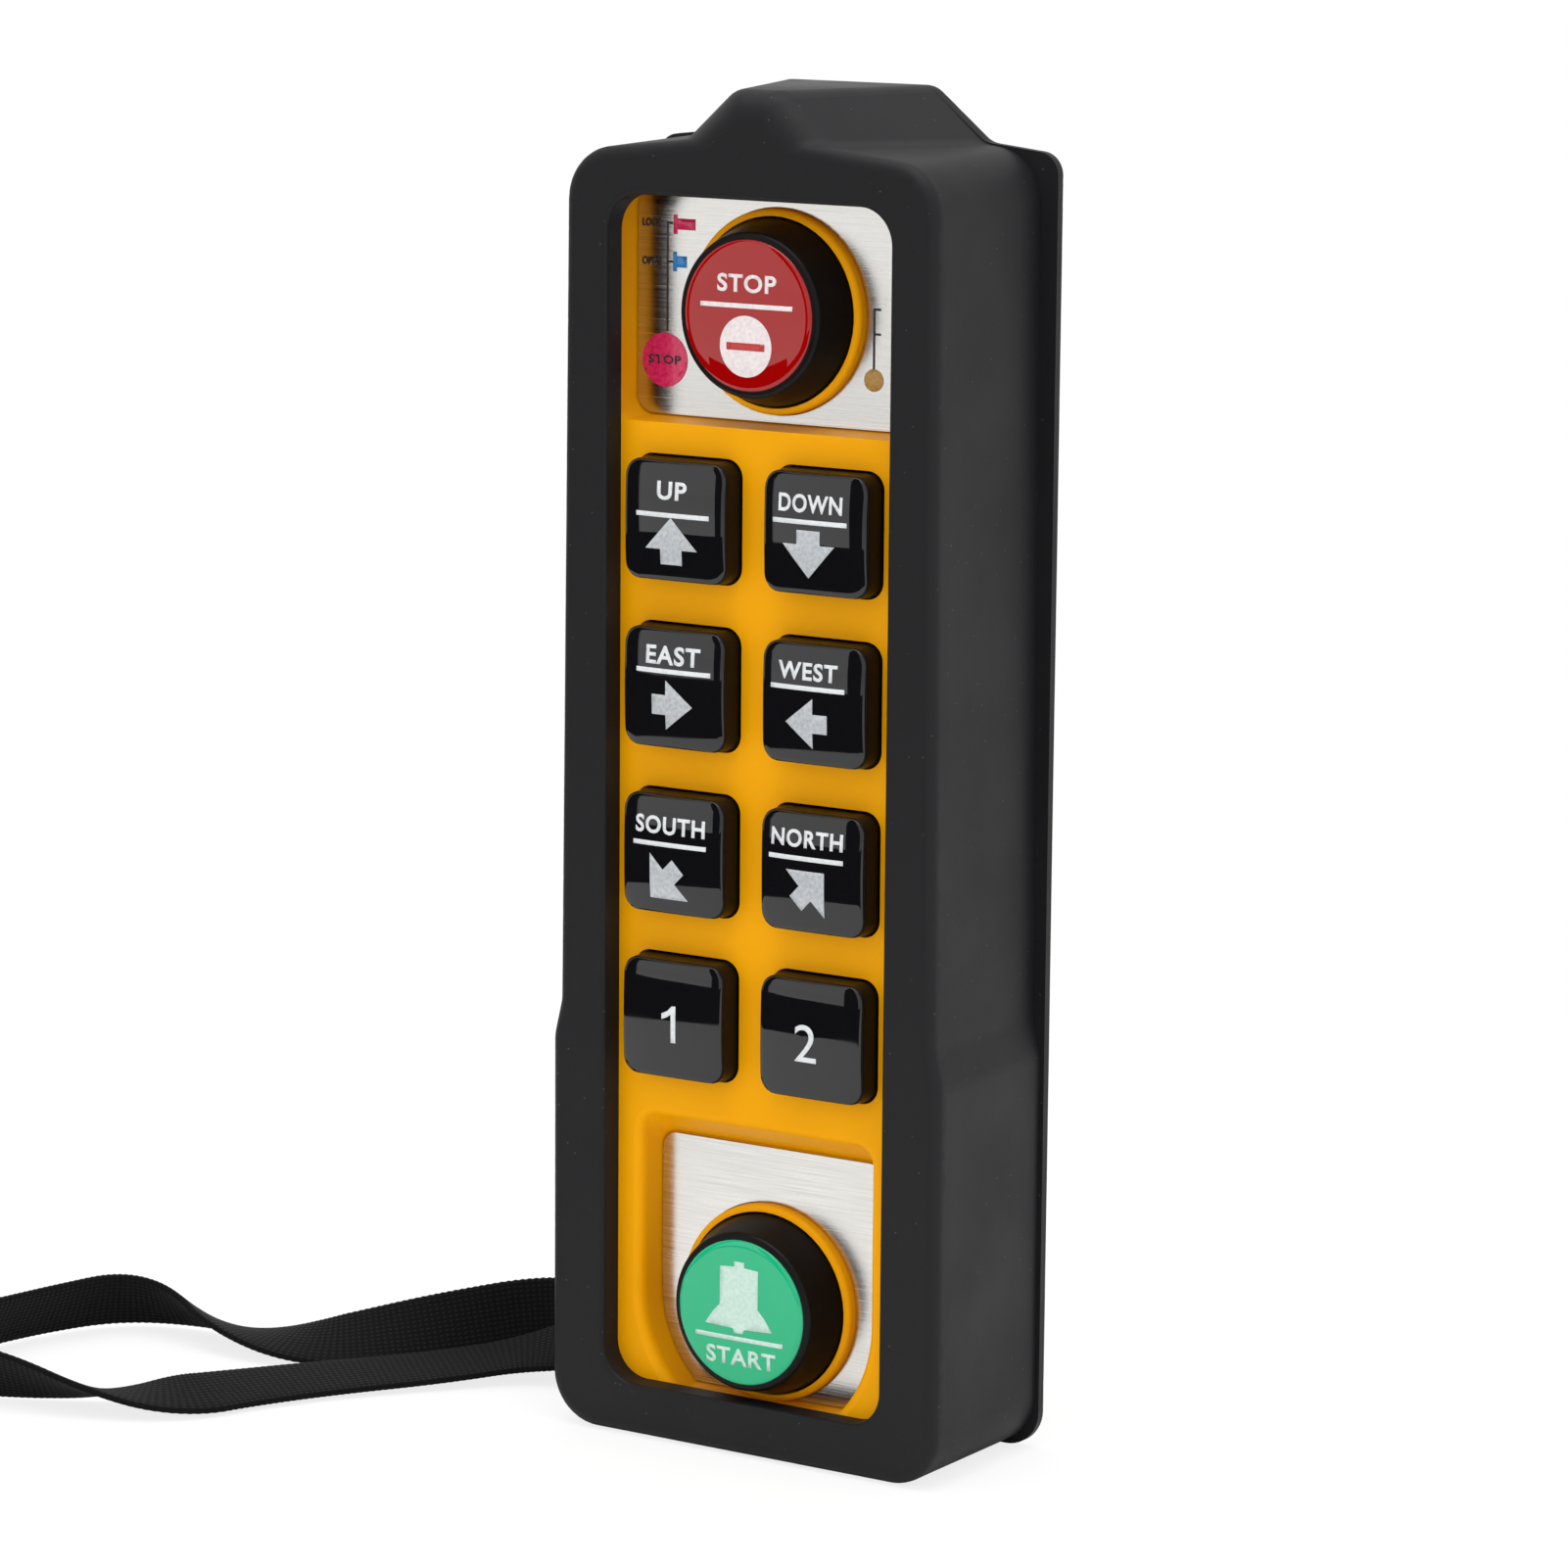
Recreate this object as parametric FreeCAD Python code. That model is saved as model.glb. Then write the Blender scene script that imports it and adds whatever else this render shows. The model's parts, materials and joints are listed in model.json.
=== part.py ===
import FreeCAD, Part
import math
import os

# Hand control for a hoist: a keypad handset in a rubber sleeve, standing on its lower end.
# Millimetres. X to the right, Y from front to back, Z up. The origin is under the middle of the sleeve.

# Rubber sleeve, outside
SIDE_BORDER = 9.85
TOP_BORDER = 9.7
SHOULDER_DROP = 3.8
SHOULDER_RISE = 0.8
STEP_INSET = 1.3
STEP_LIFT = 10.6
STEP_LENGTH = 5.5
STEP_RADIUS = 6.0
SIDE_TAPER = 1.0
SLEEVE_CORNER = 8.0
FRONT_EDGE_RADIUS = 1.8
REAR_FLANGE = 2.0
REAR_FLANGE_OUT = 0.7
REAR_FLANGE_CORNER = 3.5
REAR_FLANGE_FOOT = 5.6
REAR_EDGE_RADIUS = 0.8

# Hump on top of the sleeve, wider at the back than at the front
HUMP_HEIGHT = 6.2
HUMP_FRONT_FOOT = 11.3
HUMP_FRONT_TOP = 3.0
HUMP_REAR_FOOT = 23.5
HUMP_REAR_TOP = 13.6
HUMP_FOOT_RADIUS = 4.0
HUMP_TOP_RADIUS = 4.4
HUMP_EDGE_RADIUS = 4.5
HUMP_EDGE_STEPS = 6

# Rubber sleeve, inside
SLEEVE_WALL = 3.0
SLEEVE_FIT = 0.2
FRONT_LIP = 4.0
REAR_LIP = 2.5
WINDOW_BOTTOM = 8.0
WINDOW_CORNER = 5.5
WINDOW_EDGE_RADIUS = 0.8
WINDOW_OVERLAP = 1.2
REAR_SIDE_BORDER = 6.5
REAR_TOP_BORDER = 11.0

# Case halves
SHELL_WALL = 2.5
FACE_WALL = 2.5
BACK_WALL = 1.8
PARTING_DEPTH = 12.5
GASKET_THICKNESS = 1.0
GASKET_SETBACK = 0.4
FACE_EDGE_RADIUS = 1.0
BACK_BEVEL = 0.5
MIN_RADIUS = 0.6

# Keypad
KEY_NAMES = (("up", "down"), ("east", "west"), ("south", "north"), ("one", "two"))
KEY_SIZE = 18.2
KEY_GAP_X = 6.4
KEY_GAP_Z = 6.8
KEY_SIDE_MARGIN = 3.25
KEYPAD_LIFT = 6.4
KEY_DRAFT = 0.2
KEY_PROUD = 3.6
KEY_CORNER = 2.5
KEY_EDGE_RADIUS = 0.35
KEY_FLANGE_RIM = 0.8
KEY_FLANGE_THICKNESS = 1.2
KEY_FIT = 0.3
KEY_REST_GAP = 0.15
KEY_TRAVEL = 1.2
KEY_LABEL_MARGIN = 0.5
KEY_LABEL_THICKNESS = 0.75
KEY_LABEL_CROWN = 0.6

# Silicone return domes under the keys
DOME_GAP = 0.1
DOME_BASE_RADIUS = 6.0
DOME_TOP_RADIUS = 3.4
DOME_WALL = 0.8
DOME_PILL_RADIUS = 2.0

# Recesses and plates for the two round buttons
RECESS_DEPTH = 5.8
RECESS_WALL = 2.0
PLATE_THICKNESS = 0.8
PLATE_FIT = 0.15
STOP_LIFT = 4.9
STOP_MARGIN_BELOW = 1.85
STOP_MARGIN_ABOVE = 2.75
STOP_RECESS_HIDDEN = 1.15
STOP_RECESS_CORNER = 3.0
START_FOOT_GAP = 0.2
START_MARGIN_SIDE = 5.35
START_MARGIN_ABOVE = 8.65
START_RECESS_CORNER = 2.5
START_TOP_SLOPE = 4.0
RECESS_DRAFT = 0.5
START_RIM_RADIUS = 1.6

# Round buttons
BUTTON_SKIRT = 27.6
BUTTON_TAPER = 1.8
BUTTON_PROUD = 3.2
BUTTON_EDGE_RADIUS = 0.9
BUTTON_WALL = 2.4
BUTTON_FIT = 0.3
BUTTON_RIM = 0.9
BUTTON_LABEL_THICKNESS = 0.7
BUTTON_LABEL_CROWN = 0.5
BUTTON_STEM = 8.0
BUTTON_STEM_FIT = 0.3
COLLAR_WALL = 1.05
COLLAR_PROUD = 1.8
COLLAR_EDGE_RADIUS = 0.8
CUP_WALL = 1.8
CUP_FLOOR = 1.5
STOP_TRAVEL = 3.5
START_TRAVEL = 3.0
SKIRT_ENGAGEMENT = 1.8
TRAVEL_SPARE = 0.4
CLIP_OUTER = 12.0
CLIP_THICKNESS = 0.8
CLIP_GROOVE = 0.8
CLIP_GAP = 0.15
STEM_TAIL = 1.0
BELLOWS_INNER = 9.4
BELLOWS_OUTER = 17.0
BELLOWS_WALL = 0.9
BELLOWS_FOLDS = 3
SWITCH_SIZE = 12.0
SWITCH_PLUNGER = 4.0
SWITCH_PLUNGER_LENGTH = 1.0
SWITCH_GAP = 0.3

# Circuit board and what it carries
BOARD_MARGIN = 0.1
BOARD_THICKNESS = 1.6
BOARD_DEPTH = 6.3
BOARD_CORNER = 1.5
BOARD_SCREW_INSET = 1.7
BOARD_SCREW_SHAFT = 1.6
BOARD_SCREW_HEAD = 3.2
BOARD_SCREW_HEAD_HEIGHT = 1.1
BOARD_SCREW_LENGTH = 4.0
BOARD_BOSS = 4.0
RADIO_WIDTH = 20.0
RADIO_HEIGHT = 11.0
RADIO_DEPTH = 2.8
CHIP_SIZE = 10.0
CHIP_DEPTH = 1.4
ANTENNA_DIAMETER = 4.0
ANTENNA_LENGTH = 14.5
ANTENNA_FIT = 0.1
ANTENNA_SOCKET_WALL = 1.5
ANTENNA_SOCKET_LENGTH = 4.0
ANTENNA_DROP = 5.8

# Case screws
CASE_SCREW_LOW_HEIGHT = 9.5
CASE_SCREW_LOW_INSET = 14.9
CASE_SCREW_BOARD_GAP = 5.0
CASE_SCREW_SHAFT = 2.4
CASE_SCREW_HEAD = 4.6
CASE_SCREW_HEAD_HEIGHT = 1.3
CASE_SCREW_LENGTH = 14.5
CASE_BOSS = 4.8

# Battery compartment and its cover
CELL_DIAMETER = 14.5
CELL_LENGTH = 49.2
CELL_NUB_DIAMETER = 5.2
CELL_NUB_LENGTH = 1.3
CELL_GAP = 0.8
CELL_FIT = 0.2
CELL_COVER_GAP = 0.3
TRAY_WALL = 1.5
TRAY_FLOOR = 1.2
TRAY_BOARD_GAP = 0.4
CONTACT_THICKNESS = 0.5
CONTACT_SIZE = 11.0
CONTACT_CONE_LENGTH = 1.6
COVER_WIDTH = 44.0
COVER_THICKNESS = 1.6
COVER_CORNER = 4.0
COVER_EDGE_RADIUS = 0.7
COVER_END_MARGIN = 10.0
COVER_SCREW_SHAFT = 3.0
COVER_SCREW_HEAD = 5.6
COVER_SCREW_HEAD_HEIGHT = 1.1
COVER_SCREW_LENGTH = 6.0
COVER_SCREW_FIT = 0.08
COVER_SCREW_INSET = 4.2
COVER_BOSS = 6.4
SEAL_WIDTH = 1.4
SEAL_DEPTH = 0.8
SEAL_SETBACK = 0.4
SEAL_CORNER = 2.0

# Wrist strap, its pin and its pocket in the lower left corner
STRAP_WIDTH = 10.6
STRAP_THICKNESS = 1.2
STRAP_GAP = 0.3
STRAP_PIN_GAP = 0.6
STRAP_PIN_INSET = 6.8
STRAP_PIN_SETBACK = 7.0
STRAP_PIN_DIAMETER = 2.5
STRAP_PIN_BITE = 0.9
STRAP_POCKET_BOTTOM = 4.8
STRAP_POCKET_DEPTH = 3.6
STRAP_POCKET_WALL = 1.8
STRAP_TILT = 2.3
# Plan of the loop as it lies on the table, measured from the pin
STRAP_ROUTE = (
    (-13.8, 2.7), (-23.5, 6.0), (-31.5, 4.5), (-38.5, -3.5), (-47.5, -12.5), (-57.0, -19.0), (-71.5, -19.5),
    (-84.5, -17.0), (-94.5, -21.0), (-99.5, -32.5), (-102.0, -46.5), (-101.5, -60.5), (-93.0, -68.5),
    (-80.5, -65.0), (-67.5, -59.8), (-55.5, -53.5), (-51.5, -42.5), (-44.5, -30.0), (-34.5, -17.5),
    (-25.0, -6.0), (-13.8, -2.6),
)

# Widths that follow, from the keys out to the sleeve
KEY_FLANGE = KEY_SIZE + 2 * KEY_FLANGE_RIM
KEY_PITCH_X = KEY_SIZE + KEY_GAP_X
WINDOW_WIDTH = KEY_PITCH_X + KEY_SIZE + 2 * KEY_SIDE_MARGIN
STOP_RECESS_WIDTH = WINDOW_WIDTH + 2 * STOP_RECESS_HIDDEN
SLEEVE_LOWER_WIDTH = WINDOW_WIDTH + 2 * SIDE_BORDER
SLEEVE_UPPER_WIDTH = SLEEVE_LOWER_WIDTH - 2 * STEP_INSET
SLEEVE_TOP_WIDTH = SLEEVE_UPPER_WIDTH - 2 * SIDE_TAPER
REAR_WINDOW_WIDTH = SLEEVE_LOWER_WIDTH - 2 * REAR_SIDE_BORDER
CASE_INSET = SLEEVE_WALL + SLEEVE_FIT
CAVITY_INSET = CASE_INSET + SHELL_WALL
BOARD_WIDTH = SLEEVE_TOP_WIDTH - 2 * CAVITY_INSET
BOARD_SCREW_X = BOARD_WIDTH / 2 - BOARD_SCREW_INSET
BUTTON_CAP = BUTTON_SKIRT - 2 * BUTTON_TAPER
BUTTON_LABEL = BUTTON_CAP - 2 * BUTTON_RIM
COLLAR_OUTER = BUTTON_SKIRT + 2 * BUTTON_FIT + 2 * COLLAR_WALL
START_RECESS_WIDTH = COLLAR_OUTER + 2 * START_MARGIN_SIDE
STRAP_PIN_X = STRAP_PIN_INSET - SLEEVE_LOWER_WIDTH / 2
STRAP_POCKET_INNER_X = STRAP_PIN_X + STRAP_POCKET_DEPTH

# Heights that follow, from the start button up to the shoulder
KEY_PITCH_Z = KEY_SIZE + KEY_GAP_Z
KEYPAD_HALF = 1.5 * KEY_PITCH_Z + KEY_SIZE / 2
START_RECESS_BOTTOM = WINDOW_BOTTOM - WINDOW_OVERLAP
START_HEIGHT = WINDOW_BOTTOM + START_FOOT_GAP + BUTTON_SKIRT / 2
START_RECESS_TOP = START_HEIGHT + COLLAR_OUTER / 2 + START_MARGIN_ABOVE + START_TOP_SLOPE
STEP_BOTTOM = START_RECESS_TOP + STEP_LIFT
STEP_TOP = STEP_BOTTOM + STEP_LENGTH
KEYPAD_HEIGHT = START_RECESS_TOP + KEYPAD_LIFT + KEYPAD_HALF
STOP_RECESS_BOTTOM = KEYPAD_HEIGHT + KEYPAD_HALF + STOP_LIFT
STOP_HEIGHT = STOP_RECESS_BOTTOM + STOP_MARGIN_BELOW + COLLAR_OUTER / 2
STOP_RECESS_TOP = STOP_HEIGHT + COLLAR_OUTER / 2 + STOP_MARGIN_ABOVE
WINDOW_TOP = STOP_RECESS_TOP - WINDOW_OVERLAP
SHOULDER_HEIGHT = WINDOW_TOP + TOP_BORDER
REAR_WINDOW_BOTTOM = WINDOW_BOTTOM
REAR_WINDOW_TOP = SHOULDER_HEIGHT - REAR_TOP_BORDER
BOARD_HALF = 1.5 * KEY_PITCH_Z + DOME_BASE_RADIUS + BOARD_MARGIN
BOARD_BOTTOM = KEYPAD_HEIGHT - BOARD_HALF
BOARD_TOP = KEYPAD_HEIGHT + BOARD_HALF
CASE_SCREW_PLACES = (
    (SLEEVE_LOWER_WIDTH / 2 - CASE_SCREW_LOW_INSET, CASE_SCREW_LOW_HEIGHT),
    (BOARD_SCREW_X, BOARD_BOTTOM - CASE_SCREW_BOARD_GAP),
    (BOARD_SCREW_X, BOARD_TOP + CASE_SCREW_BOARD_GAP),
)

# Planes that follow, with room for the board and the cells between the two lips
CASE_FRONT_DEPTH = BOARD_DEPTH + BOARD_THICKNESS + TRAY_BOARD_GAP + TRAY_FLOOR
CASE_DEPTH = CASE_FRONT_DEPTH + CELL_FIT + CELL_DIAMETER + CELL_COVER_GAP
SLEEVE_DEPTH = FRONT_LIP + CASE_DEPTH + REAR_LIP
FRONT_Y = -SLEEVE_DEPTH / 2
REAR_Y = SLEEVE_DEPTH / 2
FACE_Y = FRONT_Y + FRONT_LIP
BACK_Y = REAR_Y - REAR_LIP
FACE_BACK_Y = FACE_Y + FACE_WALL
BACK_INNER_Y = BACK_Y - BACK_WALL
PARTING_Y = FACE_Y + PARTING_DEPTH
REAR_START_Y = PARTING_Y + GASKET_THICKNESS
FLOOR_Y = FACE_Y + RECESS_DEPTH
PLATE_FRONT_Y = FLOOR_Y - PLATE_THICKNESS
BOARD_Y = FACE_Y + BOARD_DEPTH
BOARD_BACK_Y = BOARD_Y + BOARD_THICKNESS
KEY_FLANGE_Y = FACE_BACK_Y + KEY_REST_GAP
KEY_BACK_Y = KEY_FLANGE_Y + KEY_FLANGE_THICKNESS
KEY_TOP_Y = FACE_Y - KEY_PROUD
STRAP_PIN_Y = REAR_Y - STRAP_PIN_SETBACK


def vector(x, y, z):
    return FreeCAD.Vector(x, y, z)


def box(x0, x1, y0, y1, z0, z1):
    return Part.makeBox(x1 - x0, y1 - y0, z1 - z0, vector(x0, y0, z0))


def rod(radius, x, z, y0, y1):
    """Round bar along Y."""
    return Part.makeCylinder(radius, y1 - y0, vector(x, y0, z), vector(0, 1, 0))


def rounded_wire(points, radii):
    """Closed wire of straight runs through the points, joined by tangent arcs."""
    count = len(points)
    starts = []
    edges = []
    for index in range(count):
        corner = points[index]
        back = (points[index - 1] - corner).normalize()
        ahead = (points[(index + 1) % count] - corner).normalize()
        half_angle = back.getAngle(ahead) / 2
        reach = radii[index] / math.tan(half_angle)
        inward = (back + ahead).normalize()
        middle = corner + inward * (radii[index] / math.sin(half_angle) - radii[index])
        starts.append((corner + back * reach, middle, corner + ahead * reach))
    for index in range(count):
        into, middle, out = starts[index]
        edges.append(Part.Arc(into, middle, out).toShape())
        next_into = starts[(index + 1) % count][0]
        if out.distanceToPoint(next_into) > 1e-6:
            edges.append(Part.LineSegment(out, next_into).toShape())
    return Part.Wire(edges)


def outline(corners, y):
    """Front-view outline at depth y, through corners of (x, z, radius)."""
    points = [vector(x, y, z) for x, z, radius in corners]
    return rounded_wire(points, [radius for x, z, radius in corners])


def rectangle(width, bottom, top, radius, y):
    half = width / 2
    places = ((-half, bottom), (half, bottom), (half, top), (-half, top))
    return outline([(x, z, radius) for x, z in places], y)


def prism(wire, length):
    """Solid that carries a front-view outline back by a length."""
    return Part.Face(wire).extrude(vector(0, length, 0))


def loft(front, rear):
    return Part.makeLoft([front, rear], True, True)


def turned(points, height):
    """Solid of revolution about the Y axis at a height, from (radius, y) points."""
    corners = [vector(radius, y, height) for radius, y in points]
    profile = Part.Face(Part.makePolygon(corners + corners[:1]))
    return profile.revolve(vector(0, 0, height), vector(0, 1, 0), 360)


def edges_at(shape, y):
    """Edges that lie in the plane at depth y."""
    return [edge for edge in shape.Edges if all(abs(vertex.Y - y) < 1e-4 for vertex in edge.Vertexes)]


def rounded_at(shape, y, radius):
    return shape.makeFillet(radius, edges_at(shape, y))


def hump_widths(y):
    """Half-widths of the hump's foot and top at depth y."""
    share = (y - FRONT_Y) / SLEEVE_DEPTH
    foot = HUMP_FRONT_FOOT + share * (HUMP_REAR_FOOT - HUMP_FRONT_FOOT)
    top = HUMP_FRONT_TOP + share * (HUMP_REAR_TOP - HUMP_FRONT_TOP)
    return foot, top


def case_outline(inset, y, stepped=True, hump_inset=None):
    """Front view of the whole control at depth y, drawn in by an inset, and the hump by its own."""
    hump_inset = inset if hump_inset is None else hump_inset
    foot, top = hump_widths(y)
    low = SLEEVE_LOWER_WIDTH / 2 if stepped else SLEEVE_LOWER_WIDTH / 2 + REAR_FLANGE_OUT
    side = SLEEVE_TOP_WIDTH / 2 if stepped else low
    heel = max((SLEEVE_CORNER if stepped else REAR_FLANGE_FOOT) - inset, MIN_RADIUS)
    corner = max((SLEEVE_CORNER if stepped else REAR_FLANGE_CORNER) - inset, MIN_RADIUS)
    fall = SHOULDER_DROP / side
    peak = SHOULDER_HEIGHT + SHOULDER_RISE * (y - FRONT_Y) / SLEEVE_DEPTH
    summit = SHOULDER_HEIGHT + HUMP_HEIGHT
    steep = math.atan2(summit - peak + fall * foot, foot - top)
    foot += inset / math.tan(steep) - hump_inset / math.sin(steep)
    top -= hump_inset * math.tan(steep / 2)
    right = [(low - inset, inset, heel)]
    if stepped:
        high = SLEEVE_UPPER_WIDTH / 2 - inset
        right += [(low - inset, STEP_BOTTOM, STEP_RADIUS), (high, STEP_TOP, STEP_RADIUS)]
    right += [
        (side - inset, peak - inset - SHOULDER_DROP, corner),
        (foot, peak - inset - fall * foot, HUMP_FOOT_RADIUS + inset),
        (top, summit - hump_inset, max(HUMP_TOP_RADIUS - hump_inset, MIN_RADIUS)),
    ]
    left = [(-x, z, radius) for x, z, radius in reversed(right)]
    return outline(right + left, y)


def case_body(inset, y0, y1, stepped=True):
    return loft(case_outline(inset, y0, stepped), case_outline(inset, y1, stepped))


def key_places():
    """Name, x and z of each key, row by row from the top."""
    places = []
    for row, names in enumerate(KEY_NAMES):
        z = KEYPAD_HEIGHT + (1.5 - row) * KEY_PITCH_Z
        for column, name in enumerate(names):
            places.append((name, (column - 0.5) * KEY_PITCH_X, z))
    return places


def key_square(size, radius, x, z, y):
    square = rectangle(size, z - size / 2, z + size / 2, radius, y)
    square.translate(vector(x, 0, 0))
    return square


def mirrored_places(places):
    return [(side * x, z) for x, z in places for side in (-1, 1)]


def drawn_in(radius, depth):
    """How far a rounded front edge is drawn in at a depth behind the front."""
    reach = max(radius - depth, 0)
    return radius - math.sqrt(radius ** 2 - reach ** 2)


def sleeve_front():
    """Front of the sleeve, rounded more at the hump than along the sides."""
    sections = []
    for step in range(HUMP_EDGE_STEPS + 1):
        depth = HUMP_EDGE_RADIUS * (1 - math.cos(step / HUMP_EDGE_STEPS * math.pi / 2))
        side_inset = drawn_in(FRONT_EDGE_RADIUS, depth)
        hump_inset = drawn_in(HUMP_EDGE_RADIUS, depth)
        sections.append(case_outline(side_inset, FRONT_Y + depth, True, hump_inset))
    return Part.makeLoft(sections, True, False)


def rubber_sleeve():
    body = sleeve_front().fuse(case_body(0, FRONT_Y + HUMP_EDGE_RADIUS, REAR_Y - REAR_FLANGE))
    flange = rounded_at(case_body(0, REAR_Y - REAR_FLANGE, REAR_Y, False), REAR_Y, REAR_EDGE_RADIUS)
    window = rectangle(WINDOW_WIDTH, WINDOW_BOTTOM, WINDOW_TOP, WINDOW_CORNER, FRONT_Y)
    rear_window = rectangle(REAR_WINDOW_WIDTH, REAR_WINDOW_BOTTOM, REAR_WINDOW_TOP, WINDOW_CORNER, BACK_Y)
    sleeve = body.fuse(flange).removeSplitter()
    sleeve = sleeve.cut(case_body(SLEEVE_WALL, FACE_Y, BACK_Y))
    sleeve = sleeve.cut(prism(window, FRONT_LIP))
    sleeve = sleeve.cut(prism(rear_window, REAR_LIP))
    sleeve = sleeve.cut(strap_pocket(-SLEEVE_LOWER_WIDTH, STRAP_PIN_X))
    rim = [edge for edge in edges_at(sleeve, FRONT_Y) if in_window(edge.CenterOfMass)]
    return sleeve.makeFillet(WINDOW_EDGE_RADIUS, rim)


def in_window(point):
    inside_width = abs(point.x) < WINDOW_WIDTH / 2 + WINDOW_EDGE_RADIUS
    return inside_width and WINDOW_BOTTOM - WINDOW_EDGE_RADIUS < point.z < WINDOW_TOP + WINDOW_EDGE_RADIUS


def strap_pocket(x0, x1):
    """Space for the two strands beside the pin."""
    reach = STRAP_PIN_DIAMETER / 2 + STRAP_PIN_GAP + STRAP_THICKNESS + STRAP_GAP
    top = STRAP_POCKET_BOTTOM + STRAP_WIDTH + 2 * STRAP_GAP
    return box(x0, x1, STRAP_PIN_Y - reach, STRAP_PIN_Y + reach, STRAP_POCKET_BOTTOM, top)


def stop_recess(grow, draft, y):
    half = STOP_RECESS_WIDTH + 2 * grow - 2 * draft
    bottom = STOP_RECESS_BOTTOM - grow + draft
    return rectangle(half, bottom, STOP_RECESS_TOP + grow - draft, STOP_RECESS_CORNER, y)


def start_recess(grow, draft, slope, y):
    """Shield outline: square shoulders above, round the button below, cut off level at the bottom."""
    radius = START_RECESS_WIDTH / 2 + grow - draft
    top = START_RECESS_TOP + grow - slope
    bottom = START_RECESS_BOTTOM - grow + draft
    foot = math.sqrt(radius ** 2 - (START_HEIGHT - bottom) ** 2)
    half_angle = math.atan2(START_HEIGHT - bottom, foot) / 2
    corner = START_RECESS_CORNER
    inner = corner * (1 - math.sqrt(0.5))
    edges = []
    for side in (1, -1):
        swing = vector(side * radius * math.cos(half_angle), y, START_HEIGHT - radius * math.sin(half_angle))
        low = vector(side * foot, y, bottom)
        waist = vector(side * radius, y, START_HEIGHT)
        shoulder = vector(side * radius, y, top - corner)
        bend = vector(side * (radius - inner), y, top - inner)
        end = vector(side * (radius - corner), y, top)
        half = [
            Part.Arc(low, swing, waist).toShape(),
            Part.LineSegment(waist, shoulder).toShape(),
            Part.Arc(shoulder, bend, end).toShape(),
        ]
        edges += half if side == 1 else half[::-1]
        if side == 1:
            edges.append(Part.LineSegment(end, vector(corner - radius, y, top)).toShape())
    edges.append(Part.LineSegment(vector(-foot, y, bottom), vector(foot, y, bottom)).toShape())
    return Part.Wire(edges)


def button_cup_floor(travel):
    """Depth of the floor that the button's stem passes through."""
    return FLOOR_Y + SKIRT_ENGAGEMENT + travel + TRAVEL_SPARE


def button_seats():
    return ((STOP_HEIGHT, STOP_TRAVEL), (START_HEIGHT, START_TRAVEL))


def front_shell():
    bore = BUTTON_SKIRT / 2 + BUTTON_FIT
    outside = rounded_at(case_body(CASE_INSET, FACE_Y, PARTING_Y), FACE_Y, FACE_EDGE_RADIUS)
    shell = outside.cut(case_body(CAVITY_INSET, FACE_BACK_Y, PARTING_Y))
    recess_blocks = [
        prism(stop_recess(RECESS_WALL, 0, FACE_Y), RECESS_DEPTH + RECESS_WALL),
        prism(start_recess(RECESS_WALL, 0, 0, FACE_Y), RECESS_DEPTH + RECESS_WALL),
    ]
    solid = [block.common(outside) for block in recess_blocks]
    cuts = [
        loft(stop_recess(0, 0, FACE_Y), stop_recess(0, RECESS_DRAFT, FLOOR_Y)),
        loft(start_recess(0, 0, 0, FACE_Y), start_recess(0, RECESS_DRAFT, START_TOP_SLOPE, FLOOR_Y)),
    ]
    collars = []
    for height, travel in button_seats():
        floor = button_cup_floor(travel)
        cup = rod(bore + CUP_WALL, 0, height, FLOOR_Y, floor + CUP_FLOOR)
        solid.append(cup.common(case_body(CASE_INSET, FACE_Y, BACK_Y)))
        collar_front = PLATE_FRONT_Y - COLLAR_PROUD
        collar = rod(COLLAR_OUTER / 2, 0, height, collar_front, FLOOR_Y)
        collars.append(rounded_at(collar, collar_front, COLLAR_EDGE_RADIUS))
        cuts.append(rod(BUTTON_STEM / 2 + BUTTON_STEM_FIT, 0, height, floor, floor + CUP_FLOOR))
    for x, z in mirrored_places(CASE_SCREW_PLACES):
        solid.append(rod(CASE_BOSS / 2, x, z, FACE_BACK_Y, PARTING_Y))
        cuts.append(rod(CASE_SCREW_SHAFT / 2, x, z, case_screw_tip(), PARTING_Y))
    for x, z in board_screw_places():
        solid.append(rod(BOARD_BOSS / 2, x, z, FACE_BACK_Y, BOARD_Y))
        cuts.append(rod(BOARD_SCREW_SHAFT / 2, x, z, board_screw_tip(), BOARD_Y))
    for name, x, z in key_places():
        hole = KEY_SIZE + 2 * KEY_FIT
        cuts.append(prism(key_square(hole, KEY_CORNER + KEY_FIT, x, z, FACE_Y), FACE_WALL))
    shell = shell.multiFuse(solid).cut(Part.makeCompound(cuts)).multiFuse(collars)
    bores = [rod(bore, 0, z, FRONT_Y, button_cup_floor(travel)) for z, travel in button_seats()]
    shell = shell.cut(Part.makeCompound(bores)).removeSplitter()
    rim = [edge for edge in edges_at(shell, FACE_Y) if on_start_rim(edge.CenterOfMass)]
    return shell.makeFillet(START_RIM_RADIUS, rim)


def on_start_rim(point):
    above_foot = START_RECESS_BOTTOM + START_RIM_RADIUS < point.z < START_RECESS_TOP + START_RIM_RADIUS
    return above_foot and abs(point.x) < START_RECESS_WIDTH / 2 + START_RIM_RADIUS


def shell_gasket():
    ring = prism(case_outline(CASE_INSET + GASKET_SETBACK, PARTING_Y), GASKET_THICKNESS)
    hole = prism(case_outline(CAVITY_INSET - GASKET_SETBACK, PARTING_Y), GASKET_THICKNESS)
    return ring.cut(hole)


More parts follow.
